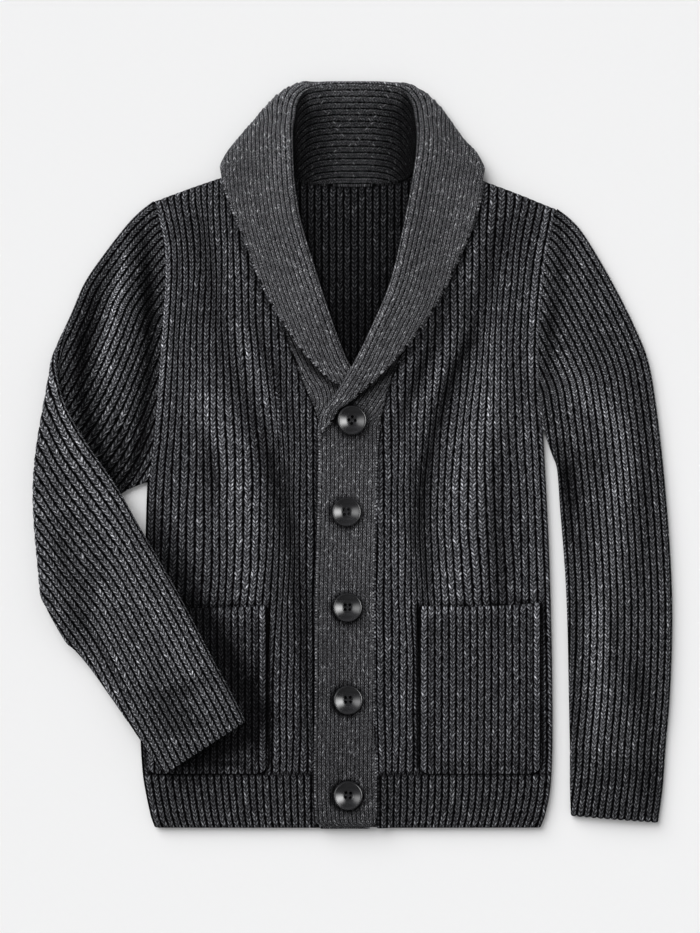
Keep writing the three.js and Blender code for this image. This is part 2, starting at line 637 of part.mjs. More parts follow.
// Body
const frontGrids = { right: frontGrid("right", BAND_RIGHT), left: frontGrid("left", BAND_LEFT) };
add("back_panel", panel(backGrid()), clothRib());
add("front_right", panel(frontGrids.right), clothRib());
add("front_left", panel(frontGrids.left), clothRib());

const sideX = (side) => (y) => read(SIDES, "y", y, side);
const backParts = [0, 0.1, 0.25, 0.4, 0.55, 0.7, 0.85, 1];
const frontParts = [0, 0.15, 0.35, 0.55, 0.75, 0.92, 1];
const flatOnTable = () => 0;
add("hem_back", panel(hemGrid(sideX("right"), sideX("left"), flatOnTable, backParts)), clothRib());
const onRightFront = (x, y) => frontHeight("right", x, y);
const onLeftFront = (x, y) => frontHeight("left", x, y);
const rightHem = hemGrid(sideX("right"), () => HEM_ENDS.right, onRightFront, frontParts);
add("hem_right", panel(rightHem), clothRib());
const leftHem = hemGrid(() => HEM_ENDS.left, sideX("left"), onLeftFront, COLUMNS.left.at);
add("hem_left", panel(leftHem), clothRib());

// Pockets, on the fronts' own points
for (const side of ["right", "left"]) {
  const { pocketFrom, pocketTo } = COLUMNS[side];
  const under = frontGrids[side].slice(0, POCKET_ROWS + 1).map((row) => row.slice(pocketFrom, pocketTo + 1));
  add(`pocket_${side}`, panel(raised(under, WALL + GAP)), clothRib());
}

// Sleeves and cuffs
add("sleeve_right", sleevePiece(SLEEVE_RIGHT, sleeveStations(24)), clothRib());
add("cuff_right", sleevePiece(SLEEVE_RIGHT, cuffStations), clothRib());
add("sleeve_left", sleevePiece(SLEEVE_LEFT, sleeveStations(15)), clothRib());
add("cuff_left", sleevePiece(SLEEVE_LEFT, cuffStations), clothRib());

// Front band and collar
add("band_right", wallAbout(bandSurface(BAND_RIGHT)), bandRib());
add("band_left", bandLeftGeometry(), bandRib());

// Buttons and the thread that holds each through its buttonhole
const buttonShape = buttonGeometry();
BUTTONS.forEach((button, index) => {
  const top = bandTop(button.y);
  const mesh = add(`button_${index + 1}`, buttonShape, horn());
  mesh.position.set(button.x, button.y, top + GAP + BUTTON_RADIUS * Math.abs(Math.sin(button.tilt)));
  mesh.rotation.x = button.tilt;
  const shankBottom = FRONT_REST + WALL + GAP;
  const height = top - shankBottom;
  const shank = standingCylinder(SHANK_RADIUS, height, button.x, button.y, shankBottom, 10);
  add(`thread_${index + 1}`, shank, thread());
});

export default group;
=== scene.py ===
"""A shawl collar cardigan in chunky marled rib, buttoned and laid flat on its back with one sleeve folded.

Lengths are worked out in millimetres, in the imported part's frame, and go to Blender in metres.
Left and right are the wearer's: left is +X. Rib and stitch coordinates count ribs across the
knitting and stitches along it, and reach the materials as a UV map.
"""

import math

import bmesh
import bpy
import numpy as np
from mathutils import Matrix, Vector


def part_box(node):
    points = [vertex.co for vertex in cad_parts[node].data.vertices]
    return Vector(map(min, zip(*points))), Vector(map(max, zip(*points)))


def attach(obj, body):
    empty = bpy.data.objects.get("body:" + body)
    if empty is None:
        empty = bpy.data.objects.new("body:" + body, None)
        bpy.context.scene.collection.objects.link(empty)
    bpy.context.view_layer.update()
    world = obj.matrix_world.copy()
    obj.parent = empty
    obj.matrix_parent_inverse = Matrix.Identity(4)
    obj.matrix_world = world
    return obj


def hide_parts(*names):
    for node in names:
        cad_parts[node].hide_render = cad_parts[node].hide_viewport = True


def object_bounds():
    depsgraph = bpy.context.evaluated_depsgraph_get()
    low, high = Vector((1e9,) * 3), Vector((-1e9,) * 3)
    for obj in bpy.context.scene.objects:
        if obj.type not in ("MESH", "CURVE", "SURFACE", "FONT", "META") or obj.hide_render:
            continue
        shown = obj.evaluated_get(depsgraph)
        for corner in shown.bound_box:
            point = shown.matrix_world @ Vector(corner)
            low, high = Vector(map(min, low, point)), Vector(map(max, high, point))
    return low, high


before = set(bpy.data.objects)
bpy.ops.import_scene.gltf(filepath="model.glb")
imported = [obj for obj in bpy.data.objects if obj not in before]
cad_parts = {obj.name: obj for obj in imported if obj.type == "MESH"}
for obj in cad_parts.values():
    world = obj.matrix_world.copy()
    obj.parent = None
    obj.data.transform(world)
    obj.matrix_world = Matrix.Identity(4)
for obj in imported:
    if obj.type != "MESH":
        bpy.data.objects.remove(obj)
CAD_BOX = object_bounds()

MM = 0.001
WALL = 4.0
GAP = 0.3
HEM_TOP = -328.0
HEM_BOTTOM = -384.0
NECK_LIFT = 4.6
FRONT_REST = WALL + GAP
BAND_REST = 2 * (WALL + GAP)
SLEEVE_HEIGHT = 9.4
FOLD_CENTRE = 11.4
CUFF_LENGTH = 66.0

RIB = 7.5
POCKET_RIB = 7.2
EDGE_RIB = 7.1
PLACKET_RIB = 4.3
STITCH = 4.2
BAND_STITCH = 3.1
RIB_PHASES = (0.0, 0.12, 0.27, 0.5, 0.73, 0.88)
RIB_DEPTH = 1.7
EDGE = WALL / 2  # how far a panel's rounded edge stands out past its last row or column
UV_NAME = "rib_and_stitch"
# Name of each point's painted highlight (above 0) and painted shade (below 0), which the wool reads
PAINTED_LIGHT_ATTRIBUTE = "painted_highlight_and_shade"

OUTWARD = {"right": -1, "left": 1}  # the way along x that each side faces
RIB_START = {"right": -214.0, "left": 203.5}  # x from which each side's straight ribs are counted
BAND_SEAM = {"right": 33.6, "left": 22.0}  # |x| of the band's seam at the middle of each front
SEAM_DIP = 1.9  # how far a wall moves towards the next one at a sewn edge
SEAM_REACH = 6  # distance over which it does
BAND_STEP_X = (26, 44)  # the left front's rise on to the height of the over band
BAND_STEP_Y = (20, 70)
NECK_RISE_Y = (226, 258)  # where the turned-under collar lifts the cloth
NECK_RISE_X = (140, 190)
FOLLOW_REACH = 95  # from a side edge, the distance over which ribs stop following it
NECK_SIDE = (82, 299)  # where a front's slanted neck edge meets its shoulder
SHOULDER_HEIGHT = 260  # a middling one, by which rows are spaced
ROW_SPACING = 4.6
BACK_ROW_SPACING = 5.4
BAND_ROW_SPACING = 3.6
SLEEVE_ROW_SPACING = 4.4
EDGE_STEPS = 24  # parts between two points of a table, where a smooth line goes through them
STAND_RIBS, FALL_RIBS = 17, 22  # on each side of the collar's roll
ROLL_POINT = 4  # which point of a band's section lies on the roll
CUFF_INSIDE = 34  # how far the cuff's inner face goes up its mouth
FOREARM_DROP = {"depth": 12, "arm": (-311, -144), "body_x": -222, "start": 2, "reach": 62}
ELBOW_BOW = 18  # how far the fold at the elbow stands out past a straight one
RIM_RIB = 0.1  # share of the rib's depth at a band's very edges
ROUND_ANGLES = np.radians([35, 65, 90])  # rows round a panel's rim
BUTTONS = range(1, 6)
BUTTON_RADIUS = 0.015
BUTTON_CORNERS = 96
BUTTON_HOLE = 0.108  # radius of each of the four holes, as a share of the button's
BUTTON_HOLE_CIRCLE = 0.225
FLOOR_DROP = 0.0004  # keeps the floor just clear of the cloth that lies on it
CAMERA_HEIGHT = 2.2
CAMERA_ASIDE = (-0.0031, -0.0114)  # of the middle of the part's box
VIEW_HEIGHT = 0.965  # what the camera takes in, at the floor


# ---------------------------------------------------------------- tables of the part


def table(columns, rows):
    """Rows of numbers as a dictionary of named columns."""
    values = np.array(rows, float)
    return {name: values[:, k] for k, name in enumerate(columns.split())}


SIDES = table(
    "y right left",
    [
        [-384, -206, 195], [-355, -212.5, 202], [-328, -217, 205], [-280, -219.5, 206],
        [-190, -217, 205], [-100, -214.5, 202.5], [-25, -212, 199], [20, -207.5, 196.5],
        [68, -203.5, 193.5], [108, -200.5, 192.5], [150, -197.5, 194.5], [195, -195.5, 199],
        [227, -198, 204.5], [262, -207, 212],
    ],
)
# Heights on each armhole's seam, from the shoulder tip to the underarm
ARMHOLE = {
    "right": [261, 221, 175, 117, 59, 13, -27],
    "left": [253, 221, 185, 139, 94, 58, 26],
}
SHOULDER_TIP = {"right": (-207, 261), "left": (212, 253)}
NECK_POINT = {"right": (-75.5, 301), "left": (72.0, 301)}
BACK_TOP = table(
    "x y",
    [
        [-207, 261], [-163, 276.5], [-118, 292], [-75.5, 302], [-72.4, 296.4], [-67.8, 289.6],
        [-60.6, 284.4], [-51, 280.9], [-39, 278.7], [-26, 277.6], [0, 276.8], [25, 277.6],
        [37, 278.7], [48, 280.9], [57.4, 284], [64.2, 289.6], [67.2, 296.2], [70.4, 301],
        [114, 290], [160, 273], [212, 253],
    ],
)
# Rows along each half of the front band and collar: its seam (s), its roll (a, from `low` inside to
# `high` on top), its free edge (f, resting at `rest`), and how much of it turns under past that edge
BAND_LEFT = table(
    "sx sy sz ax ay low high fx fy rest turn",
    [
        [15, -382.4, 10.6, -26, -382.4, 10.6, 10.6, -28.5, -382.4, 10.6, 0],
        [20, -381.4, 10.6, -30.6, -381.4, 10.6, 10.6, -33.2, -381.4, 10.6, 0],
        [22.9, -378.6, 10.6, -33.8, -378.6, 10.6, 10.6, -36.4, -378.6, 10.6, 0],
        [24.4, -373, 10.6, -36, -373, 10.6, 10.6, -38.7, -373, 10.6, 0],
        [24, -328, 10.6, -37.4, -328, 10.6, 10.6, -40, -328, 10.6, 0],
        [22, -241, 10.6, -36.4, -241, 10.6, 10.6, -39, -241, 10.6, 0],
        [21.2, -155, 10.6, -35.9, -155, 10.6, 10.6, -38.5, -155, 10.6, 0],
        [22, -100, 10.6, -34.7, -100, 10.6, 10.6, -37.3, -100, 10.6, 0],
        [23.3, -50, 10.6, -33.4, -50, 10.6, 10.6, -36, -50, 10.6, 0],
        [25, 0, 10.6, -32.4, 0, 10.7, 10.7, -35, 1, 10.7, 0],
        [25.8, 14, 10.5, -32.8, 14, 10.9, 11.6, -34.6, 15, 11.8, 0],
        [27.1, 28, 10.2, -33.2, 30, 11.6, 16, -23.5, 31, 16, 0],
        [28.1, 35, 9.8, -29.5, 43.5, 12.8, 17.9, -14, 46, 17.9, 0],
        [29, 42, 9.4, -19, 58, 15.2, 20.5, -1, 56, 19.8, 0],
        [37, 72, 7.4, 1, 91, 17.6, 22.6, 26, 80, 19.6, 0],
        [51, 110, 6.4, 20, 130, 9.6, 18.5, 58, 114.5, 13.5, 0],
        [69, 158, 6.4, 40, 178, 6.4, 15, 89.2, 160, 11.4, 0],
        [76.3, 212, 6.8, 53, 232, 9, 17, 116.6, 217, 13.8, 0],
        [74, 248, 10.6, 59, 262, 11.4, 19.5, 129.3, 251.5, 16.6, 0],
        [71, 275, 11.3, 63, 284, 11.5, 20.5, 134, 279, 17, 0],
        [68.4, 295, 11.3, 66, 303, 11.5, 20, 134.5, 294, 16.8, 3],
        [66.2, 305, 9, 67.5, 320, 10.6, 18.5, 126, 311, 14.6, 25],
        [64.6, 298.5, 6.9, 67.5, 336, 10.2, 16.5, 113, 325, 12.8, 50],
        [61.6, 291, 6.7, 65.5, 349, 10, 14, 100, 343, 11.6, 72],
        [56, 285.4, 6.5, 63, 360.5, 10, 12.4, 87, 360, 10.8, 90],
        [48, 282, 6.4, 57, 370, 10, 11, 72, 373, 10.2, 106],
        [37, 279.8, 6.4, 47.5, 376.5, 10, 10.2, 55, 381, 10, 116],
        [25, 278.7, 6.4, 33, 379, 10, 10, 36, 383.6, 10, 119],
        [12, 278, 6.4, 16, 380, 10, 10, 18, 384, 10, 120],
        [0.15, 277.8, 6.4, 0.15, 380, 10, 10, 0.15, 384, 10, 120],
    ],
)
BAND_RIGHT = table(
    "sx sy sz ax ay low high fx fy rest turn",
    [
        [-31.5, -380, 6.3, -7, -380, 6.3, 6.3, 16, -380, 6.3, 0],
        [-32.7, -374, 6.3, -7, -374, 6.3, 6.3, 18, -374, 6.3, 0],
        [-32.7, -250, 6.3, -7, -250, 6.3, 6.3, 18, -250, 6.3, 0],
        [-32.7, -100, 6.3, -7, -100, 6.3, 6.3, 18, -100, 6.3, 0],
        [-32.7, 0, 6.3, -7, 0, 6.3, 6.3, 18, 0, 6.3, 0],
        [-33.5, 28, 6.3, -7, 32, 6.3, 6.3, 17, 36, 6.3, 0],
        [-38, 47, 6.3, 4, 60, 6.4, 6.5, 12, 62, 6.5, 0],
        [-44.5, 62, 6.3, 1, 82, 6.4, 10.8, -18, 74, 10.8, 0],
        [-52, 80, 6.4, -9, 101, 6.4, 13, -37, 90, 11, 0],
        [-64, 110, 6.4, -22, 135, 6.4, 14.6, -63, 122, 11.2, 0],
        [-77.5, 160, 6.4, -39, 187, 6.4, 15, -92.8, 172, 11.4, 0],
        [-81, 208, 6.8, -54, 236, 9, 17, -113, 224, 13.8, 0],
        [-79.3, 248, 10.6, -59, 262, 11.4, 19.5, -126, 255, 16.2, 0],
        [-76.6, 278, 11.3, -62, 284, 11.5, 20.5, -135, 282, 17.2, 0],
        [-74, 296, 11.3, -63, 303, 11.5, 20, -135.5, 296, 17, 3],
        [-71.3, 305, 9, -63.5, 320, 10.6, 18.5, -128, 312, 14.6, 24],
        [-70.1, 298.5, 6.9, -63.5, 336, 10.2, 16.5, -115, 328, 12.8, 52],
        [-66.2, 291, 6.7, -61.5, 349, 10, 14, -101, 344, 11.6, 73],
        [-60, 285.4, 6.5, -59.5, 360.5, 10, 12.4, -88, 359, 10.8, 90],
        [-51, 282, 6.4, -54.5, 370, 10, 11, -73, 373, 10.2, 106],
        [-39, 279.8, 6.4, -45.5, 376.5, 10, 10.2, -56, 381, 10, 116],
        [-26, 278.7, 6.4, -32, 379, 10, 10, -36, 383.6, 10, 119],
        [-12, 278, 6.4, -16, 380, 10, 10, -18, 384, 10, 120],
        [-0.15, 277.8, 6.4, -0.15, 380, 10, 10, -0.15, 384, 10, 120],
    ],
)
# The sleeves' two edges, from the armhole to the cuff; 1 marks a point of the folded forearm
SLEEVE_EDGES = {
    "left": {
        "over": [
            [211, 254.5, 0], [225, 243.5, 0], [239.5, 226.5, 0], [265.5, 183, 0], [290, 135, 0],
            [305, 97, 0],
            [313, 52, 0], [320, -7, 0], [326, -76, 0], [329.5, -142, 0], [329.5, -195, 0],
            [327, -253, 0], [323, -300, 0], [320, -341, 0], [315, -379, 0],
        ],
        "under": [
            [197, 26, 0], [201, 14, 0], [206, 0, 0], [211, -15, 0], [214, -56, 0], [217, -93, 0],
            [220, -139, 0], [222, -196, 0], [223, -253, 0], [224, -300, 0], [224, -338, 0],
            [225, -372, 0],
        ],
    },
    "right": {
        "over": [
            [-206, 262.5, 0], [-220, 251.5, 0], [-234.5, 236.5, 0], [-258, 206, 0], [-277, 177, 0],
            [-291, 142, 0],
            [-291, 66, 1], [-275, 32, 1], [-250, -15, 1], [-224, -64, 1], [-200, -105, 1],
            [-176, -147, 1], [-144, -208, 1], [-126, -241, 1], [-110, -273, 1],
        ],
        "under": [
            [-212, -27, 0], [-233, -36, 0], [-253, -52, 0], [-274, -75, 0], [-293, -105, 0],
            [-297, -185, 1], [-285, -200, 1], [-272, -217, 1], [-258, -236, 1], [-245, -254, 1],
            [-232, -272, 1], [-213, -299, 1], [-193, -327, 1],
        ],
    },
}
POCKETS = {"right": (-211.0, -89.4), "left": (69.6, 192.6)}
POCKET_TOP = -157.0
POCKET_BOTTOM = -326.0
POCKET_CORNER = 10.0
FOLD_TOP = np.array([-294.0, 109.0])
FOLD_BOTTOM = np.array([-306.0, -155.0])

# Soft folds of the cloth. Each has a width and points along it, each with how far the cloth is a crest
# there (up to 1) or a hollow (down to -1). A fold raises or sinks the cloth, and also gives it a painted
# highlight on a crest and painted shade in a hollow
BODY_FOLDS = [
    (6, [
        (-202, 249, 0.3), (-193, 212, 1), (-191, 171, 1), (-194, 119, 0.8), (-198, 68, 0.6),
        (-203, 10, 0.3),
    ]),
    (12, [
        (-162, 238, -0.3), (-150, 192, -0.5), (-142, 150, -0.5), (-135, 119, -0.45), (-125, 88, -0.55),
        (-112, 57, -0.65), (-94, 16, -0.65), (-79, -25, -0.65), (-67, -67, -0.65), (-59, -108, -0.6),
        (-52, -149, -0.65), (-49, -201, -0.7), (-49, -253, -0.6), (-50, -318, -0.3),
    ]),
    (7, [(-121, 150, 0), (-111, 109, 0.4), (-98, 73, 0.4), (-84, 42, 0.35), (-70, 12, 0)]),
    (7, [(-106, 150, -0.2), (-91, 114, -0.6), (-80, 78, -0.6), (-69, 47, -0.45), (-61, 12, 0)]),
    (16, [
        (-168, 72, 0.1), (-153, 52, 0.5), (-135, 31, 0.75), (-125, 6, 0.85), (-119, -25, 0.85),
        (-113, -56, 0.9),
        (-109, -93, 0.85), (-106, -129, 0.6), (-104, -155, 0.35), (-103, -185, 0.1),
    ]),
    (9, [(-152, 24, -0.2), (-146, -5, -0.8), (-142, -30, -0.85), (-142, -52, -0.3)]),
    (6, [
        (202, 249, 0.3), (199, 223, 1), (194, 192, 1), (188, 161, 1), (184, 125, 0.8), (183, 94, 0.6),
        (186, 70, 0.2),
    ]),
    (13, [(160, 240, -0.2), (152, 222, -0.5), (142, 192, -0.55), (131, 160, -0.6), (122, 128, -0.6)]),
    (9, [
        (129, 156, -0.5), (121, 119, -0.95), (106, 88, -0.95), (95, 57, -0.95), (85, 26, -0.9),
        (75, -10, -0.85),
        (70, -46, -0.8), (70, -87, -0.65), (76, -125, -0.5), (80, -150, -0.2),
    ]),
    (6, [(106, 125, 0.1), (90, 88, 0.4), (75, 57, 0.35), (64, 20, 0.1)]),
    (8, [
        (106, 176, -0.5), (88, 130, -0.8), (75, 99, -0.8), (59, 63, -0.7), (46, 37, -0.55),
        (37, 5, -0.2),
    ]),
    (18, [
        (152, 140, 0.15), (145, 105, 0.35), (139, 73, 0.55), (134, 37, 0.65), (123, 6, 0.65),
        (116, -36, 0.7),
        (113, -77, 0.6), (106, -118, 0.5), (100, -145, 0.3),
    ]),
    (11, [
        (155, 40, 0), (152, 0, -0.35), (149, -46, -0.45), (152, -93, -0.65), (152, -118, -0.7),
        (150, -185, -0.5), (150, -215, 0),
    ]),
    (10, [(48, -60, 0), (46, -110, 0.3), (54, -150, 0.25), (50, -230, 0.2), (48, -300, 0.1)]),
    (9, [(176, 60, 0), (180, 20, 0.35), (186, -20, 0.3), (190, -120, 0.2), (192, -250, 0.2)]),
]
# Painted shadows that the bands and the lapels cast on the body beside themselves
BAND_EDGE_SHADOWS = [
    (4, [
        (-37, -384, -0.9), (-41.5, -330, -0.9), (-41, -240, -0.9), (-40.5, -155, -0.9), (-39.2, -100, -0.9),
        (-38, -50, -0.9), (-37, 0, -0.9), (-36.5, 22, -0.9), (-35, 42, -0.5),
    ]),
    (3, [
        (24.5, -384, -0.8), (25.8, -328, -0.9), (23.5, -241, -0.8), (23, -155, -0.8), (23.8, -100, -0.8),
        (25.2, -50, -0.8),
        (26.8, 0, -0.8), (28, 22, -0.7), (30.5, 42, -0.7), (38.5, 72, -0.7), (52, 110, -0.6),
    ]),
    (5, [
        (-20, 38, -0.9), (-10, 47, -0.95), (1, 56, -0.95), (14, 66, -0.95), (28, 78, -0.9),
        (45, 92, -0.85), (62, 110, -0.85),
        (77, 130, -0.85), (92, 158, -0.85), (107, 188, -0.8), (119.5, 218, -0.75), (127.5, 240, -0.7),
        (132.5, 254, -0.6),
        (136, 280, -0.6), (137, 296, -0.5),
    ]),
    (4.5, [
        (-14, 68, -0.95), (-20, 72, -0.95), (-39, 88, -0.95), (-53, 104, -0.95), (-67, 121, -0.9),
        (-82, 146, -0.85),
        (-95.5, 172, -0.8), (-107.5, 200, -0.75), (-116, 222, -0.7), (-122, 240, -0.6),
        (-129, 256, -0.6), (-136, 281, -0.6),
        (-137, 296, -0.5),
    ]),
    (2.5, [(-34.5, 40, -0.6), (-39.5, 47, -0.8), (-46, 62, -0.8), (-53.5, 80, -0.8), (-65.5, 110, -0.7)]),
]
# The painted shadow that the folded forearm casts on the body and its pocket beside itself
FOREARM_SHADOW = (19, [
    (-212, -70, -0.7), (-184, -112, -0.95), (-158, -164, -1.0), (-132, -207, -1.0), (-112, -240, -1.0),
    (-100, -268, -1.0),
    (-108, -288, -0.9), (-138, -301, -0.9), (-163, -313, -0.85), (-178, -322, -0.4),
])
SLEEVE_FOLDS = [
    (9, [
        (212, 249, -0.4), (216, 202, -0.5), (210, 161, -0.5), (203, 125, -0.8), (198, 73, -0.5),
        (204, 22, -0.4),
    ]),
    (14, [
        (222, 92, 0.2), (240, 63, 0.6), (260, 42, 0.65), (274, 21, 0.7), (278, -15, 0.6), (270, -50, 0.5),
        (266, -100, 0.35), (256, -140, 0.4),
    ]),
    (13, [(214, 2, -0.6), (220, -18, -0.95), (224, -46, -0.8), (225, -80, -0.5), (228, -110, -0.2)]),
    (9, [(222, 0, -0.3), (246, -10, -0.55), (262, -2, -0.1)]),
    (10, [
        (252, -135, 0.3), (253, -160, 0.75), (255, -201, 0.75), (255, -253, 0.65), (251, -299, 0.4),
        (243, -330, 0.1),
    ]),
    (6, [(270, -170, 0), (269, -191, -0.5), (267, -215, -0.3), (265, -240, 0)]),
    (14, [(288, -200, 0), (294, -228, -0.55), (298, -255, -0.5), (307, -294, -0.45), (306, -346, -0.4)]),
    (6, [(226, -120, -0.2), (229, -150, -0.5), (229, -240, -0.45), (230, -315, -0.4)]),
    (10, [(288, 90, -0.2), (297, 57, -0.4), (302, -25, -0.4), (300, -108, -0.3), (303, -170, 0)]),
]
UPPER_ARM_FOLDS = [
    (8, [
        (-236, 205, 0.3), (-239, 181, 0.9), (-243, 161, 1), (-249, 130, 1), (-253, 105, 0.9),
        (-249, 70, 0.3),
    ]),
    (14, [
        (-250, 200, -0.3), (-265, 165, -0.8), (-277, 119, -1), (-281, 78, -1), (-277, 47, -1),
        (-265, 11, -1),
        (-251, -15, -1), (-240, -30, -0.9),
    ]),
    (11, [
        (-215, 230, -0.6), (-211, 171, -1), (-210, 119, -1), (-212, 68, -1), (-217, 16, -1),
        (-226, -15, -1), (-236, -27, -1),
    ]),
    (12, [(-238, 40, 0.1), (-240, 20, -0.6), (-238, -5, -0.9)]),
]
# Painted highlight and painted shade of the folded forearm's top, in the same form; they don't shape it
FOREARM_PAINTED_FOLD_LIGHT = [
    (16, [
        (-302, 80, 0.2), (-301, 57, 0.35), (-290, 26, 0.4), (-274, -10, 0.4), (-262, -36, 0.4),
        (-253, -67, 0.35), (-240, -100, 0.2),
    ]),
    (9, [(-220, -130, 0.2), (-185, -190, 0.35), (-150, -245, 0.35)]),
    (12, [(-299, -60, 0), (-298, -87, -0.45), (-295, -118, -0.5), (-285, -150, -0.2)]),
    (5, [(-292, -150, -0.3), (-268, -185, -0.6), (-250, -215, -0.5), (-232, -246, -0.3)]),
    (8, [(-214, -250, -0.3), (-190, -246, -0.6), (-162, -236, -0.5), (-140, -226, -0.2)]),
    (16, [(-190, -262, -0.45), (-172, -272, -0.45)]),
]
# Painted light laid over all of the folded forearm's top
FOREARM_PAINTED_LIGHT = 0.15


# ---------------------------------------------------------------- small tools


def smooth(value, low, high):
    """0 below `low`, 1 above `high`, smooth between them."""
    part = np.clip((np.asarray(value, float) - low) / (high - low), 0, 1)
    return part * part * (3 - 2 * part)


def fading(value, low, high):
    """1 below `low`, 0 above `high`, smooth between them."""
    return 1 - smooth(value, low, high)


def bell(value, middle, width):
    """1 at the middle, falling away on both sides."""
    return np.exp(-(((value - middle) / width) ** 2))


def lerp(a, b, part):
    return a + (b - a) * part


def joined(*parts):
    """Points, or pairs, from arrays of their coordinates."""
    return np.stack(parts, axis=-1)


def read(key, values, at):
    """Smooth line through a table's points, as the part draws it."""
    at = np.clip(np.asarray(at, float), key[0], key[-1])
    k = np.clip(np.searchsorted(key, at, side="right") - 1, 0, len(key) - 2)
    own = np.arange(len(key))
    before, after = np.maximum(own - 1, 0), np.minimum(own + 1, len(key) - 1)
    slope = (values[after] - values[before]) / (key[after] - key[before])
    span = key[k + 1] - key[k]
    t = (at - key[k]) / span
    return (
        (2 * t**3 - 3 * t**2 + 1) * values[k]
        + (t**3 - 2 * t**2 + t) * span * slope[k]
        + (3 * t**2 - 2 * t**3) * values[k + 1]
        + (t**3 - t**2) * span * slope[k + 1]
    )


def side_x(side, y):
    return read(SIDES["y"], SIDES[side], y)


def flowing(points, steps):
    """Catmull-Rom line through points, with `steps` parts between each two; works along axis 0."""
    points = np.asarray(points, float)
    padded = np.concatenate([2 * points[:1] - points[1:2], points, 2 * points[-1:] - points[-2:-1]])
    t = (np.arange(steps) / steps).reshape((1, steps) + (1,) * (points.ndim - 1))
    a, b, c, d = (padded[k : len(padded) - 3 + k][:, None] for k in range(4))
    curve = 0.5 * (
        2 * b + (c - a) * t + (2 * a - 5 * b + 4 * c - d) * t**2 + (3 * b - a - 3 * c + d) * t**3
    )
    return np.concatenate([curve.reshape((-1,) + points.shape[1:]), points[-1:]])


def lengths(points):
    """Distance along a line of points, from its start."""
    return np.concatenate([[0], np.cumsum(np.linalg.norm(np.diff(points, axis=0), axis=1))])


def unit(vectors):
    return vectors / np.maximum(np.linalg.norm(vectors, axis=-1, keepdims=True), 1e-9)


def normals_of(grid, fallback=(0, 0, 1)):
    """Unit normals of a grid of points; where points lie on each other, the nearest good one."""
    down, across = np.gradient(grid, axis=0), np.gradient(grid, axis=1)
    normal = np.cross(across, down)
    size = np.linalg.norm(normal, axis=-1)
    good = size > 1e-4
    normal[good] /= size[good][:, None]
    normal[~good] = 0
    for _ in range(3):
        bad = np.linalg.norm(normal, axis=-1) < 0.5
        if not bad.any():
            break
        spread = np.zeros_like(normal)
        spread[:, 1:] += normal[:, :-1]
        spread[:, :-1] += normal[:, 1:]
        spread[1:] += normal[:-1]
        spread[:-1] += normal[1:]
        normal[bad] = unit(spread[bad])
    bad = np.linalg.norm(normal, axis=-1) < 0.5
    normal[bad] = fallback
    return normal


def fold_shade_and_rise(folds, x, y):
    """Painted highlight (above 0) or painted shade (below 0) along a table's lines, and by how many mm they
    raise or sink the cloth.
    """
    crest, hollow = np.zeros(np.shape(x)), np.zeros(np.shape(x))
    rise, sink = np.zeros(np.shape(x)), np.zeros(np.shape(x))
    for width, points in folds:
        nearest, lie = np.full(np.shape(x), 1e9), np.zeros(np.shape(x))
        for (x0, y0, lie0), (x1, y1, lie1) in zip(points, points[1:]):
            dx, dy = x1 - x0, y1 - y0
            part = np.clip(((x - x0) * dx + (y - y0) * dy) / (dx * dx + dy * dy), 0, 1)
            reach = np.hypot(x - x0 - part * dx, y - y0 - part * dy)
            lie = np.where(reach < nearest, lerp(lie0, lie1, part), lie)
            nearest = np.minimum(reach, nearest)
        shape = lie * bell(nearest, 0, width)
        crest, hollow = np.maximum(crest, shape), np.minimum(hollow, shape)
        height = shape * min(4.5, 0.33 * width)
        rise, sink = np.maximum(rise, height), np.minimum(sink, height)
    return crest + hollow, rise + sink


def wander(x, y, seed):
    """A slow irregular drift between -1 and 1, the same on every run."""
    total = np.zeros(np.broadcast(x, y).shape)
    state = np.random.RandomState(seed)
    for _ in range(5):
        fx, fy, phase = state.uniform(-1, 1) / 60, state.uniform(-1, 1) / 70, state.uniform(0, 6.28)
        total = total + np.sin(x * fx + y * fy + phase)
    return total / 3.2


def rib_profile(rib):
    """1 on a rib's crest and 0 in the valley beside it."""
    across = np.abs(2 * np.mod(rib, 1.0) - 1)
    return 1 - across**2.6


def rib_columns(first, last):
    """Rib coordinates of a panel's columns, whole ribs from `first` to `last`."""
    ribs = np.arange(math.floor(first), math.ceil(last))
    return (ribs[:, None] + np.array(RIB_PHASES)[None, :]).ravel()


# ---------------------------------------------------------------- meshes


def placed(name, data):
    """New object in the scene, for a mesh, a light or a camera."""
    holder = bpy.data.objects.new(name, data)
    bpy.context.scene.collection.objects.link(holder)
    return holder


def make_piece(name, points, faces, rib, stitch, material, lie):
    """Mesh object from points in millimetres, with the rib and stitch coordinates as its UV map.

    `lie` gives each point's painted highlight (up to 1) or painted shade (down to -1), kept as an attribute
    for the wool.
    """
    mesh = bpy.data.meshes.new(name)
    mesh.from_pydata((points * MM).tolist(), [], faces.tolist())
    layer = mesh.uv_layers.new(name=UV_NAME)
    corners = np.empty(len(mesh.loops), np.int32)
    mesh.loops.foreach_get("vertex_index", corners)
    uv = joined(rib.ravel()[corners], stitch.ravel()[corners])
    layer.data.foreach_set("uv", uv.astype(np.float32).ravel())
    mesh.materials.append(material)
    mesh.attributes.new(PAINTED_LIGHT_ATTRIBUTE, "FLOAT", "POINT").data.foreach_set("value", lie.astype(np.float32).ravel())
    work = bmesh.new()
    work.from_mesh(mesh)
    bmesh.ops.remove_doubles(work, verts=work.verts, dist=4e-6)
    bmesh.ops.dissolve_degenerate(work, edges=work.edges, dist=2e-6)
    bmesh.ops.recalc_face_normals(work, faces=work.faces)
    for face in work.faces:
        face.smooth = True
    work.to_mesh(mesh)
    work.free()
    return placed(name, mesh)


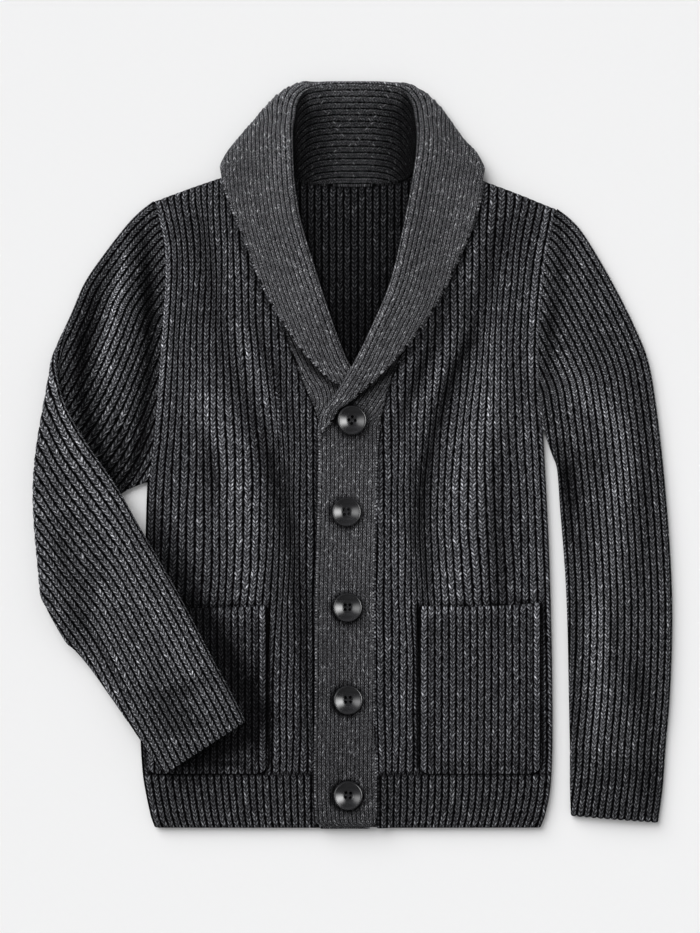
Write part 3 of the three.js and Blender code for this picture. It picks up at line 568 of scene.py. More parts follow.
def grid_faces(rows, columns, offset=0, flip=False):
    first = (np.arange(rows - 1)[:, None] * columns + np.arange(columns - 1)[None, :]).ravel()
    faces = np.stack([first, first + 1, first + 1 + columns, first + columns], axis=1) + offset
    return faces[:, ::-1] if flip else faces


def edge_ways(grid, end):
    """Outward directions in the cloth at its last column, or at its first where `end` is 0."""
    line = grid if end else grid[:, ::-1]
    ways = np.zeros((len(grid), 3))
    for k, row in enumerate(line):
        away = np.linalg.norm(row - row[-1], axis=1)
        far = np.nonzero(away > 2.5)[0]
        ways[k] = row[-1] - row[far[-1]] if len(far) else 0
    return unit(ways)


def rounded(mid, rib, stitch, half):
    """Adds columns and rows past a panel's edges, where its thickness rounds off to nothing."""
    normal, rim = normals_of(mid), np.zeros(rib.shape)
    for axis in (1, 0):
        if axis == 1:
            ways = [edge_ways(mid, 0), edge_ways(mid, 1)]
        else:
            turned = mid.transpose(1, 0, 2)
            ways = [edge_ways(turned, 0), edge_ways(turned, 1)]
        parts = {"mid": mid, "normal": normal, "rib": rib, "stitch": stitch, "half": half, "rim": rim}
        for end in (0, 1):
            index = -1 if end else 0
            edge = {key: np.take(value, index, axis=axis) for key, value in parts.items()}
            for angle in ROUND_ANGLES:
                thick = edge["half"]
                grown = dict(edge)
                grown["mid"] = edge["mid"] + ways[end] * (thick * math.sin(angle))[..., None]
                grown["half"] = thick * math.cos(angle)
                grown["rim"] = np.maximum(edge["rim"], math.sin(angle) ** 2)
                for key in parts:
                    extra = np.expand_dims(grown[key], axis)
                    order = [parts[key], extra] if end else [extra, parts[key]]
                    parts[key] = np.concatenate(order, axis=axis)
        mid, normal, rib, stitch, half, rim = parts.values()
    return mid, normal, rib, stitch, half, rim


def panel(name, mid, rib, stitch, material, lie, half=WALL / 2, depth=RIB_DEPTH, rim_painted_light=-0.7):
    """Closed panel of ribbed knitting about a middle surface: ribs on one face are valleys on the other.

    `lie` gives the painted highlight and painted shade of points, from their place, their ribs and the face
    they are on (1 or -1). The last argument adds painted shade round the rim, or a painted highlight where it
    is above 0.
    """
    shape = mid.shape[:2]
    half = np.broadcast_to(np.asarray(half, float), shape).copy()
    depth = np.broadcast_to(np.asarray(depth, float), shape)
    ratio = np.pad(depth / half, len(ROUND_ANGLES), mode="edge")
    mid, normal, rib, stitch, half, rim = rounded(mid, rib, stitch, half)
    faces, points, ribs, lies = [], [], [], []
    for k, way in enumerate((1, -1)):
        own = rib + 0.5 * k
        thick = half * (1 - ratio * (1 - rib_profile(own)))
        face = mid + way * normal * thick[..., None]
        lies.append(np.minimum(lie(face[..., 0], face[..., 1], rib, way), 1) + rim_painted_light * rim)
        points.append(face.reshape(-1, 3))
        ribs.append(own.ravel())
        faces.append(grid_faces(*mid.shape[:2], offset=k * mid.shape[0] * mid.shape[1], flip=k == 1))
    stitches = np.concatenate([stitch.ravel(), stitch.ravel()])
    points, faces, ribs = np.concatenate(points), np.concatenate(faces), np.concatenate(ribs)
    return make_piece(name, points, faces, ribs, stitches, material, np.stack(lies))


# ---------------------------------------------------------------- heights of the body


def neck_lift(x, y, margin):
    """How far the collar that lies under the neck raises the cloth."""
    (start_y, full_y), (full_x, end_x) = NECK_RISE_Y, NECK_RISE_X
    up = smooth(y, start_y - margin, full_y - margin)
    return NECK_LIFT * up * fading(np.abs(x), full_x + 3 * margin, end_x + 3 * margin)


def shoulder_y(x):
    """Height of the two shoulder seams, and between them of the line from neck point to neck point."""
    line = [SHOULDER_TIP["right"], (-163, 276.5), (-118, 292), NECK_POINT["right"]]
    line += [NECK_POINT["left"], (114, 290), (160, 273), SHOULDER_TIP["left"]]
    return np.interp(x, [p[0] for p in line], [p[1] for p in line])


def side_distance(side, x, y):
    """How far points lie in from a side edge of the body."""
    return OUTWARD[side] * (side_x(side, y) - x)


def nearer_side(x, y):
    return np.minimum(side_distance("right", x, y), side_distance("left", x, y))


def front_mid(side, x, y):
    """Middle height of a front's cloth: its rest, the soft folds and its edges."""
    band_step = fading(x, *BAND_STEP_X) * fading(y, *BAND_STEP_Y) if side == "left" else 0
    rest = FRONT_REST + 1.12 * neck_lift(x, y, 8) + (BAND_REST - FRONT_REST) * band_step
    edge = np.clip(side_distance(side, x, y), 0, None)
    inner = np.abs(x) - (26 if side == "left" else 33)
    calm = smooth(edge, 4, 40) * smooth(inner, 0, 26) * smooth(y, HEM_TOP - 20, HEM_TOP + 60)
    calm = calm * smooth(shoulder_y(x) - y, 4, 60)
    puff = 3.2 * calm + calm * 0.9 * wander(x, y, 4)
    folds = fold_shade_and_rise(BODY_FOLDS, x, y)[1] * smooth(y, HEM_TOP, HEM_TOP + 40) * smooth(edge, 0, 12)
    folds = folds - 1.3 * bell(pocket_gap(side, x, y), 3, 3) * smooth(edge, 0, 12)
    seam = fading(edge, 0, SEAM_REACH)
    shoulder = fading(shoulder_y(x) - y, 0, SEAM_REACH) * (np.abs(x) > 76)
    return rest + WALL / 2 + puff + folds - SEAM_DIP * np.maximum(seam, shoulder)


def front_painted_shade(side, base=0.0, pockets=False):
    """Painted highlight and painted shade of a front's visible face, with painted shadows beside the bands,
    lapels, forearm and pockets.
    """

    def lie(x, y, _, way):
        shade = base + fold_shade_and_rise(BODY_FOLDS, x, y)[0] + 0.14 * wander(4 * x, 3 * y, 2)
        # Painted shadows beside the bands and the lapels
        shade = np.minimum(shade, base + 0.5 + fold_shade_and_rise(BAND_EDGE_SHADOWS, x, y)[0] * 1.5)
        if side == "right":
            # Painted shadow of the folded forearm
            shade = shade + fold_shade_and_rise([FOREARM_SHADOW], x, y)[0]
        if pockets:
            # Painted shadow round each pocket
            shade = shade - 1.15 * bell(pocket_gap(side, x, y), 3, 1.9)
        shade = shade - 0.75 * bell(y, HEM_TOP, 1.8)
        seen = way * OUTWARD[side] < 0
        return np.maximum(shade, -1) * seen

    return lie


def pocket_gap(side, x, y):
    """How far a point lies outside a pocket's outline; below 0 inside it."""
    low, high = POCKETS[side]
    past_side = np.abs(x - (low + high) / 2) - (high - low) / 2 + POCKET_CORNER
    past_bottom = POCKET_BOTTOM - y + POCKET_CORNER
    past = np.hypot(np.maximum(past_side, 0), np.maximum(past_bottom, 0)) - POCKET_CORNER
    past = past + np.minimum(np.maximum(past_side, past_bottom), 0)
    return np.maximum(past, y - pocket_top(side, x))


def pocket_top(side, x):
    """The pocket's top edge: a soft bow, higher at its outer end."""
    low, high = POCKETS[side]
    part = np.clip((x - low) / (high - low), 0, 1)
    part = part if side == "left" else 1 - part
    rise = 3.5 if side == "left" else -2.0
    return POCKET_TOP - 1.2 * np.sin(np.pi * part) + rise * part**2


def body_columns(side, distance, y):
    """x of a rib that starts `distance` in from the side edge: along the edge at first, then straight."""
    outward, straight = OUTWARD[side], RIB_START[side]
    follow = fading(distance, 0, FOLLOW_REACH)
    drift = 1.7 * wander(distance * 5, y * 1.6, 11) + 0.8 * wander(distance * 14, y * 4.5, 12)
    drift = drift * smooth(distance, 6, 30)
    pull = smooth(distance, 8, 100) * fading(distance, 110, 165)
    pull = pull * smooth(-y, -150, 40) * (1 - 0.8 * smooth(-y, 60, 250))
    drift = drift - outward * (13 if side == "left" else 11) * pull
    return lerp(straight, side_x(side, y), follow) - outward * distance + drift


# Heights on the seam between each front and its band, and |x| of the seam there
FRONT_SEAM = {
    "right": ([-400, 28, 47, 62, 80, 110, 160], [33.6, 34.4, 38.9, 45.4, 52.9, 64.9, 78.4]),
    "left": (
        [-378, -328, -241, -155, -100, -50, 0, 22, 42, 72, 110, 158],
        [25.6, 24.9, 22.9, 22.1, 22.9, 24.2, 25.9, 27.2, 29.9, 37.9, 51.9, 69.9],
    ),
}


def front_top(side, x):
    """Where a front's rib ends: on the band's seam, or at the shoulder."""
    y, across = FRONT_SEAM[side]
    rising = [k for k in range(len(y)) if y[k] >= 20]
    neck_x, neck_y = NECK_SIDE
    seam = np.interp(np.abs(x), [across[k] for k in rising] + [neck_x], [y[k] for k in rising] + [neck_y])
    return np.where(np.abs(x) < neck_x, np.minimum(seam, shoulder_y(x)), shoulder_y(x))


def grid_between(low, high, spacing, ends=(0.0, 0.9, 2.2, 4.0)):
    """Parts from 0 to 1 along a length, close together at both ends."""
    length = high - low
    near = np.array(ends) / length
    count = int(round((length - 2 * ends[-1]) / spacing))
    return np.concatenate([near[:-1], np.linspace(near[-1], 1 - near[-1], count), 1 - near[-2::-1]])


def front(side, material):
    """Front panel: its ribs rise from the hem and end on the band's seam or at the shoulder."""
    outward = OUTWARD[side]
    width = abs(side_x(side, -100.0)) - BAND_SEAM[side]
    ribs = rib_columns(0, width / RIB)
    distance = ribs * RIB + EDGE
    parts = grid_between(HEM_TOP, SHOULDER_HEIGHT, ROW_SPACING)
    lines, tops = [], []
    for d in distance:
        x = body_columns(side, d, np.array([250.0]))[0]
        for _ in range(4):
            top = front_top(side, np.array([x]))[0] - EDGE
            x = body_columns(side, d, np.array([top]))[0]
        tops.append(top)
        y = lerp(HEM_TOP, top, parts)
        lines.append(np.stack([body_columns(side, d, y), y], axis=1))
    grid = np.stack(lines, axis=1)
    x, y = grid[..., 0], grid[..., 1]
    past = np.maximum(np.interp(y, *FRONT_SEAM[side]) + EDGE / 2 - outward * x, 0)
    x = x + outward * past
    z = front_mid(side, x, y)
    mid = joined(x, y, z)
    rib = ribs[None, :] - past / RIB
    return panel(f"{side}_front", mid, rib, y / STITCH, material, front_painted_shade(side, pockets=True))


def back(material):
    """Back panel, with ribs that follow both sides and end on the shoulders and the neck."""
    span = RIB_START["left"] - RIB_START["right"] - 2 * EDGE
    ribs = rib_columns(0, span / RIB)
    distance = ribs * RIB
    distance = distance[distance < span - 1]
    ribs = ribs[: len(distance)]
    parts = grid_between(HEM_TOP, SHOULDER_HEIGHT, BACK_ROW_SPACING)
    lines = []
    for d in distance:
        y = np.array([250.0])
        for _ in range(4):
            x = back_line(d, span, y)
            y = np.interp(x, BACK_TOP["x"], BACK_TOP["y"]) - EDGE
        column = lerp(HEM_TOP, y[0], parts)
        lines.append(np.stack([back_line(d, span, column), column], axis=1))
    grid = np.stack(lines, axis=1)
    x, y = grid[..., 0], grid[..., 1]
    edge = nearer_side(x, y)
    z = neck_lift(x, y, 0) + WALL / 2 + SEAM_DIP * fading(edge, 0, SEAM_REACH)

    def lie(x, y, _, way):
        """Painted shade inside the neck, where little light comes down."""
        inside = lerp(-0.72, -0.98, smooth(-y, -270, -110)) - 0.15 * smooth(np.abs(x), 20, 55)
        return np.where(way > 0, np.maximum(inside, -1), 0.08 * wander(4 * x, 3 * y, 3))

    mid = joined(x, y, z)
    return panel("back", mid, np.broadcast_to(ribs, x.shape), y / STITCH, material, lie)


def back_line(distance, span, y):
    """x of a rib of the back that starts `distance` in from the right side edge."""
    right, left = side_x("right", y) - RIB_START["right"], side_x("left", y) - RIB_START["left"]
    pull = right * fading(distance, 0, FOLLOW_REACH) + left * fading(span - distance, 0, FOLLOW_REACH)
    return RIB_START["right"] + EDGE + distance + pull


def hem_edge(side):
    """x of a hem's side edge at each height: a little inside the body's, and drawn in at its very bottom."""

    def x(y):
        return side_x(side, y) - OUTWARD[side] * (2 + 1.5 * fading(y, HEM_BOTTOM, HEM_BOTTOM + 12))

    return x


def straight_edge(x):
    return lambda y: np.full(np.shape(y), x)


def hem(name, from_x, to_x, mid_height, material, lie, swell=0.7):
    """Band of closer rib below a panel, narrower at its very bottom."""
    y = HEM_BOTTOM + 2 + (HEM_TOP - GAP - HEM_BOTTOM - 3.2) * grid_between(0, 54, ROW_SPACING)
    width = abs(float(to_x(np.array([HEM_TOP]))[0] - from_x(np.array([HEM_TOP]))[0]))
    ribs = rib_columns(0, width / EDGE_RIB)
    ribs = ribs[ribs * EDGE_RIB < width]
    part = ribs * EDGE_RIB / width
    low, high = from_x(y)[:, None], to_x(y)[:, None]
    x = low + (high - low) * (part[None, :] / part[-1])
    yy = np.broadcast_to(y[:, None], x.shape)
    bulge = swell * np.sin(np.pi * np.clip((yy - HEM_BOTTOM) / (HEM_TOP - HEM_BOTTOM), 0, 1))
    z = mid_height(x, yy) + bulge
    rib = np.broadcast_to(ribs, x.shape)
    return panel(name, joined(x, yy, z), rib, yy / STITCH, material, lie, depth=1.5)


def hem_mid(side):
    """Middle height of a front hem's cloth."""

    def height(x, y):
        band_step = fading(x, *BAND_STEP_X) if side == "left" else 0
        edge = np.clip(side_distance(side, x, y), 0, None)
        rest = FRONT_REST + (BAND_REST - FRONT_REST) * band_step
        return rest + WALL / 2 - SEAM_DIP * fading(edge, 0, SEAM_REACH)

    return height


def back_hem_mid(x, y):
    edge = nearer_side(x, y)
    return WALL / 2 + SEAM_DIP * fading(edge, 0, SEAM_REACH)


def pocket(side, material):
    """Patch pocket: ribs like the body's, sewn down at its sides and bottom, and a little lifted on top."""
    low, high = POCKETS[side]
    width = high - low
    count = round(width / POCKET_RIB)
    ribs = rib_columns(0, count)
    ribs = np.append(ribs, count)
    part = ribs / count
    y = lerp(POCKET_BOTTOM, POCKET_TOP, grid_between(POCKET_BOTTOM, POCKET_TOP, ROW_SPACING))
    across, up = np.meshgrid(part, y)
    corner = POCKET_CORNER
    from_edge = np.minimum(across, 1 - across) * width
    lift = corner - np.sqrt(np.clip(corner**2 - (corner - np.minimum(from_edge, corner)) ** 2, 0, None))
    low_part = fading(up, POCKET_BOTTOM, POCKET_BOTTOM + 45)
    yy = up + lift * low_part
    xx = low + width * across
    yy = yy + (pocket_top(side, xx) - POCKET_TOP) * smooth(up, -260, POCKET_TOP)
    xx = xx + 1.2 * wander(across * 60, 2 * up, 6) * np.sin(np.pi * across)
    base = front_mid(side, xx, yy)
    outward = np.abs(xx - (low if side == "right" else high))
    from_edge = np.minimum(from_edge, (up - POCKET_BOTTOM))
    sewn = fading(from_edge, 0, 5)
    groove = bell(from_edge, 8, 2.2) * 0.7
    opening = smooth(up, POCKET_TOP - 40, POCKET_TOP)
    z = np.maximum(base, FRONT_REST + WALL / 2 - SEAM_DIP * fading(outward, 0, SEAM_REACH))
    z = z + WALL + GAP + 0.6 - 1.6 * sewn * (1 - opening) - 1.4 * groove
    z = z + 1.2 * opening * np.sin(np.pi * across)
    rib = np.broadcast_to(ribs, xx.shape)

    def lie(x, y, _, way):
        inside = -pocket_gap(side, x, y)
        from_side = np.minimum(x - low, high - x)
        # Painted highlight and shade of the pocket's folds, and the forearm's painted shadow
        shade = 0.6 * fold_shade_and_rise(BODY_FOLDS, x, y)[0] + 0.1 * wander(4 * x, 3 * y, 7) - 0.1
        if side == "right":
            shade = shade + fold_shade_and_rise([FOREARM_SHADOW], x, y)[0] - 0.12
        # Painted highlights on the lifted top edge and on the sides
        shade = shade + 0.4 * bell(pocket_top(side, x) - y, 2, 5) * (1 + shade)
        shade = shade + 0.3 * bell(from_side, 4, 3.5) * (1 + shade)
        # Painted shade in the groove inside the outline
        shade = shade - 0.55 * bell(inside, 9.5, 2) * (pocket_top(side, x) - y > 12)
        return np.maximum(shade, -1) * (way > 0)

    mid = joined(xx, yy, z)
    # Painted shade round the pocket's rim
    return panel(f"{side}_pocket", mid, rib, yy / STITCH + 0.3, material, lie, rim_painted_light=-0.5)


# ---------------------------------------------------------------- sleeves

FOLD_WAY = unit(FOLD_BOTTOM - FOLD_TOP)
FOLD_AWAY = np.array([FOLD_WAY[1], -FOLD_WAY[0]])
FOLD_RADIUS = FOLD_CENTRE - SLEEVE_HEIGHT / 2


def past_fold(points):
    """How far points of the opened sleeve lie past the line that it is folded on."""
    return (points - FOLD_TOP) @ FOLD_AWAY


def opened_out(rows):
    """Where the points of the folded forearm lie when the sleeve is opened out flat."""
    rows = np.array(rows, float)
    points = rows[:, :2]
    shift = rows[:, 2] * (math.pi * FOLD_RADIUS - 2 * past_fold(points))
    return points + shift[:, None] * FOLD_AWAY


def forearm_drop(x, y):
    """How far the folded forearm sinks where there is no body under it."""
    (arm_x, arm_y), start, reach = FOREARM_DROP["arm"], FOREARM_DROP["start"], FOREARM_DROP["reach"]
    past_arm = (x - arm_x) * 0.76 - (y - arm_y) * 0.65
    return FOREARM_DROP["depth"] * smooth(np.minimum(past_arm, FOREARM_DROP["body_x"] - x), start, reach)


def folded(x, y, height):
    """Folds points of the opened sleeve, at a height in it, into place."""
    points = joined(x, y)
    past = past_fold(points)
    angle = np.clip(past / FOLD_RADIUS, 0, math.pi)
    radius = FOLD_CENTRE - height
    beyond = np.maximum(0, past - math.pi * FOLD_RADIUS)
    shift = np.where(past <= 0, 0, radius * np.sin(angle) - beyond - past)
    place = points + shift[..., None] * FOLD_AWAY
    bow = bell(place[..., 1], -25, 110)
    near = fading(place[..., 0], -299, -229)
    z = FOLD_CENTRE - radius * np.cos(angle)
    z = z - forearm_drop(place[..., 0], place[..., 1]) * smooth(beyond, 0, 45)
    return joined(place[..., 0] - ELBOW_BOW * bow * near, place[..., 1], z)


def point_at(line, along, at):
    """Points of a line at some distances, given each of its points' distance along it."""
    return joined(*(np.interp(at, along, line[:, k]) for k in range(line.shape[1])))


def resampled(points, count):
    """The same line with evenly spaced points."""
    along = lengths(points)
    return point_at(points, along, np.linspace(0, along[-1], count))


def crossing(start, way, line):
    """How far from each start, along its way, the line of points is first met."""
    a, b = line[None, :-1], line[None, 1:]
    side = b - a
    offset = a - start[:, None]
    cross = way[:, None, 0] * side[..., 1] - way[:, None, 1] * side[..., 0]
    cross = np.where(np.abs(cross) < 1e-9, 1e-9, cross)
    far = (offset[..., 0] * side[..., 1] - offset[..., 1] * side[..., 0]) / cross
    part = (offset[..., 0] * way[:, None, 1] - offset[..., 1] * way[:, None, 0]) / cross
    met = (part >= -1e-6) & (part <= 1 + 1e-6) & (far > -0.5)
    return np.where(met, far, 1e6).min(axis=1)


class Sleeve:
    """A sleeve opened out flat: its ribs run parallel to the `over` edge, from the armhole to the cuff."""

    def __init__(self, side):
        edges = SLEEVE_EDGES[side]
        self.side = side
        self.outward = OUTWARD[side]
        self.over = resampled(flowing(opened_out(edges["over"]), EDGE_STEPS), 900)
        self.under = resampled(flowing(opened_out(edges["under"]), EDGE_STEPS), 700)
        self.length = lengths(self.over)[-1]
        tip, pit = ARMHOLE[side][0], ARMHOLE[side][-1]
        y = np.linspace(tip, pit, 80)
        self.armhole = joined(side_x(side, y) - 2.2 * self.outward, y)
        self.under_length = lengths(self.under)[-1]

    def stations(self, at):
        """Over-edge points, ways across and widths at distances along the over edge."""
        along = np.linspace(0, self.length, len(self.over))
        start, ahead, behind = (
            point_at(self.over, along, np.clip(at + step, 0, self.length)) for step in (0, 14, -14)
        )
        way = unit(ahead - behind)
        square = joined(way[:, 1], -way[:, 0])
        square *= np.sign(np.sum(square * (self.under[-1] - self.over[-1]), axis=1, keepdims=True))
        under_along = np.linspace(0, self.under_length, len(self.under))
        from_cuff = self.length - at
        level = point_at(self.under, under_along, np.maximum(self.under_length - from_cuff, 0))
        matched = unit(level - start)
        turn = smooth(at, self.length - 190, self.length - 75)[:, None]
        way = unit(square * (1 - turn) + matched * turn)
        boundary = np.concatenate([self.armhole, self.under[3:]])
        beyond = self.under[-1] + (self.under[-1] - self.under[-20]) * 4
        boundary = np.concatenate([boundary, beyond[None]])
        return start, way, crossing(start, way, boundary)

    def surface(self, at, reach, inset=0.0):
        """Points of the sleeve `reach` mm round from its over edge; the underside's reach is negative."""
        start, way, width = self.stations(at)
        inset = np.broadcast_to(np.asarray(inset, float), at.shape)[:, None]
        width = width[:, None]
        radius = np.minimum(SLEEVE_HEIGHT / 2, 0.48 * width)
        arc = np.abs(reach)[None, :]
        turn = radius * math.pi / 2
        rising = radius * (1 - np.cos(np.minimum(arc, turn) / radius))
        across = np.minimum(rising + np.maximum(arc - turn, 0), width)
        arc = np.minimum(arc, np.maximum(turn + width - radius, 0))
        inside = np.clip(across, inset, np.maximum(width - inset, inset))
        sheet = start[:, None] + way[:, None] * inside[..., None]
        x, y = sheet[..., 0], sheet[..., 1]
        seam_y = np.clip(y, ARMHOLE[self.side][-1], ARMHOLE[self.side][0])
        from_arm = self.outward * (x - side_x(self.side, seam_y))
        from_arm = np.where(y < ARMHOLE[self.side][-1], 60, from_arm)
        near_arm = fading(from_arm, -3, 9)
        closing = smooth(from_arm, 4, 30) * (y < ARMHOLE[self.side][-1] + 40) + (y < ARMHOLE[self.side][-1])
        closing = np.clip(closing, 0, 1)
        from_under = np.clip(width - across, 0, None)
        roll_over = np.sqrt(np.clip(1 - (1 - np.minimum(across / radius, 1)) ** 2, 0, 1))
        roll_under = np.sqrt(np.clip(1 - (1 - np.minimum(from_under / radius, 1)) ** 2, 0, 1))
        thick = (SLEEVE_HEIGHT / 2 - inset) * roll_over * lerp(1, roll_under, closing)
        thick = thick - 2.2 * near_arm * roll_over
        swell = 1.8 * np.sin(np.pi * np.clip(across / np.maximum(width, 1), 0, 1))
        swell = swell * smooth(from_arm, 4, 40) * smooth(at, 20, 80)[:, None]
        drift = 0.7 * wander(x, y, 21) * roll_over * smooth(from_arm, 5, 30)
        folds = SLEEVE_FOLDS if self.side == "left" else UPPER_ARM_FOLDS
        ridge = fold_shade_and_rise(folds, x, y)[1] * roll_over * smooth(from_arm, 2, 14) + drift
        return sheet, arc, thick, swell, ridge, from_under

    def lie(self, sheet, points, way):
        """Painted highlight and painted shade of a sleeve's points: its folds, painted light over the folded
        forearm, and a little darker towards the left sleeve's cuff.
        """
        x, y = points[..., 0], points[..., 1]
        uneven = 0.1 * wander(4 * x, 3 * y, 6)
        if self.side == "left":
            low_cuff = -0.25 * fading(y, -325, -300)
            return np.where(way > 0, fold_shade_and_rise(SLEEVE_FOLDS, x, y)[0] + uneven + low_cuff, uneven)
        past = past_fold(sheet)
        forearm = FOREARM_PAINTED_LIGHT + fold_shade_and_rise(FOREARM_PAINTED_FOLD_LIGHT, x, y)[0] + uneven
        upper_arm = fold_shade_and_rise(UPPER_ARM_FOLDS, x, y)[0] + uneven
        return np.where(past > 0.5 * math.pi * FOLD_RADIUS, forearm, np.where(way > 0, upper_arm, uneven))

    def place(self, sheet, thick, swell, ridge, way):
        """Takes points of the opened sleeve's top (way 1) or underside (way -1) to where they lie."""
        x, y = sheet[..., 0], sheet[..., 1]
        middle = SLEEVE_HEIGHT / 2
        if self.side == "left":
            height = np.where(way > 0, middle + thick + swell + ridge, middle - thick)
            return joined(x, y, height)
        past = past_fold(joined(x, y))
        upper_arm = fading(past, -46, -6)
        forearm = smooth(past, math.pi * FOLD_RADIUS + 4, math.pi * FOLD_RADIUS + 60)
        up = middle + thick + (swell + ridge) * upper_arm * 0.9
        crease = bell(self.groove_distance(x, y), 0, 9)
        fuller = 1.3 * swell + 0.8 * wander(x, y, 8) - 3.0 * crease
        down = middle - thick - fuller * forearm * (thick / middle)
        return folded(x, y, np.where(way > 0, up, down))

    def groove_distance(self, x, y):
        """Distance from a long soft groove on the folded forearm's outer side."""
        a, b = opened_out([[-292, -150, 1]])[0], opened_out([[-222, -262, 1]])[0]
        way = b - a
        part = np.clip(((x - a[0]) * way[0] + (y - a[1]) * way[1]) / (way @ way), 0, 1)
        return np.hypot(x - a[0] - part * way[0], y - a[1] - part * way[1])


def sleeve_tube(name, sleeve, at, rib_width, material, depth, inset=0.0):
    """Tube of ribbed knitting about a sleeve, from the under seam round the over edge and back."""
    _, _, width = sleeve.stations(at)
    ribs = rib_columns(0, (width.max() + 6) / rib_width + 0.5) - 0.5
    reach = ribs[ribs > -0.01] * rib_width
    around = np.concatenate([-reach[::-1], reach[1:]])
    sheet, arc, thick, swell, ridge, from_under = sleeve.surface(at, around, inset)
    way = np.where(around < 0, -1, 1)[None, :] * np.ones((len(at), 1))
    points = sleeve.place(sheet, thick, swell, ridge, way)
    middle = sleeve.place(sheet, thick * 0, swell, ridge, way)
    normal = normals_of(points)
    outwards = np.sum(normal * (points - middle)) > 0
    rib = way * arc / rib_width + 0.5
    sunk = depth * (1 - rib_profile(rib)) * lerp(0.4, 1, smooth(from_under, 0, 3))
    points = points - (1 if outwards else -1) * normal * sunk[..., None]
    stitch = np.broadcast_to(-at[:, None] / STITCH, rib.shape)
    lie = sleeve.lie(sheet, points, way) - 0.8 * fading(at, -0.5, 4)[:, None]
    return make_piece(name, points.reshape(-1, 3), grid_faces(*rib.shape), rib, stitch, material, lie)


def sleeve_rows(sleeve, spacing=SLEEVE_ROW_SPACING):
    """Rows of a sleeve, closer together where its cuff is linked on."""
    end = sleeve.length - CUFF_LENGTH - GAP
    return np.concatenate([np.linspace(0, end - 4, int(end / spacing)), [end - 2, end - 0.8, end + 0.6]])


def cuff_rows(sleeve):
    """Rows of a cuff, round its end and back up inside, with how far each row lies inside the outer wall."""
    start, end = sleeve.length - CUFF_LENGTH, sleeve.length - 2
    rows = [start - 0.6, start + 0.8, start + 2.2]
    inset = [1.1, 0.5, 0.2]
    rows += list(np.linspace(start + 5, end - 4, 13)) + [end - 1.5]
    inset += [0.0] * 14
    for angle in np.radians([0, 35, 70, 110, 145, 180]):
        rows.append(end + 1.9 * math.sin(angle))
        inset.append(1.6 * (1 - math.cos(angle)))
    rows += [end - 8, end - 20, end - CUFF_INSIDE]
    inset += [3.2, 3.3, 3.4]
    return np.array(rows), np.array(inset)


# ---------------------------------------------------------------- front bands and collar


def finer_rows(rows, spacing):
    """A band's rows, closer together, on smooth lines through the table's own."""
    names = list(rows)
    points = np.stack([rows[name] for name in names], axis=1)
    dense = flowing(points, EDGE_STEPS)
    place = {name: k for k, name in enumerate(names)}
    roll, free_edge = (lengths(dense[:, [place[line + "x"], place[line + "y"]]]) for line in "af")
    path = 0.5 * (roll + free_edge)
    first = [0, 0.6, 1.4, 2.4, 3.8, 5.6]
    along = np.concatenate([first, np.linspace(8, path[-1], int(path[-1] / spacing))])
    at = np.interp(along, path, np.arange(len(dense)))
    fine = {name: np.interp(at, np.arange(len(dense)), dense[:, k]) for name, k in place.items()}
    fine["turn"] = np.maximum(fine["turn"], 0)
    fine["along"] = along
    return fine


def band_sections(rows, outward):
    """For each row, the middle line of the band's wall from the seam over the roll to its free edge."""
    seam, roll, outline = (joined(rows[f"{line}x"], rows[f"{line}y"]) for line in "saf")
    stand, fall = roll - seam, outline - roll
    edge = unit(np.gradient(outline, axis=0))
    away = joined(edge[:, 1], -edge[:, 0]) * outward
    sections = []
    for k in range(len(seam)):
        rest, turned = rows["rest"][k], rows["turn"][k]
        low, high = rows["low"][k], rows["high"][k]
        radius, lift = (rest - WALL / 2) / 2, high - low
        stand_size, fall_size = np.linalg.norm(stand[k]), np.linalg.norm(fall[k])
        reach = max(stand_size - 0.35 * lift, 1) / stand_size
        points = []
        for part in (0, 0.3, 0.62, 1):
            at = seam[k] + stand[k] * part * reach
            points.append([*at, lerp(rows["sz"][k], low, min(1, 1.3 * part))])
        tip = roll[k] - 0.02 * lift * stand[k] / stand_size
        points.append([*tip, lerp(low, high, 0.5)])
        width = fall_size + turned
        axis = outline[k] - away[k] * radius
        fall_way = fall[k] / fall_size
        start = min(0.4 * lift + 1, 0.3 * fall_size)
        to_axis = (axis - roll[k]) @ away[k] / max(fall_way @ away[k], 0.3)
        bend = np.clip(to_axis if turned > 0 else 0.62 * width, start + 0.5, 0.9 * width)
        bow = min(math.pi * radius, 0.75 * (width - bend))
        stops = [lerp(start, bend, part) for part in (0, 0.35, 0.7, 1)]
        stops += [bend + part * bow for part in (0.25, 0.5, 0.75, 1)]
        stops += [lerp(bend + bow, width, 0.5), width]
        for along in stops:
            settle = rest + (high - rest) * math.exp(-(along - start) / 16)
            flat = roll[k] + fall_way * along
            past = (flat - axis) @ away[k] if turned > 0 else 0
            angle = np.clip(past / radius, 0, math.pi)
            beyond = max(0, past - math.pi * radius)
            shift = 0 if past <= 0 else radius * math.sin(angle) - beyond - past
            flat = flat + away[k] * shift
            points.append([*flat, lerp(WALL / 2, settle, (1 + math.cos(angle)) / 2)])
        sections.append(points)
    return np.array(sections)


def band_reach(rib, rows):
    """Distance from the roll at which each rib lies, row by row; the stand's ribs are negative."""
    up = rows["ay"][:, None]
    stand = lerp(PLACKET_RIB, 6.4, smooth(up, 70, 300))
    at_roll = lerp(PLACKET_RIB, 5.4, smooth(up, 70, 190))
    outer = lerp(lerp(PLACKET_RIB, 3.8, smooth(up, 60, 120)), 6.1, smooth(up, 345, 376))
    fall = outer * rib + (at_roll - outer) * 5 * (1 - np.exp(-np.abs(rib) / 5))
    return np.where(rib < 0, stand * rib, fall)


def button_centre(number):
    low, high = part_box(f"button_{number}")
    return (low + high) / 2


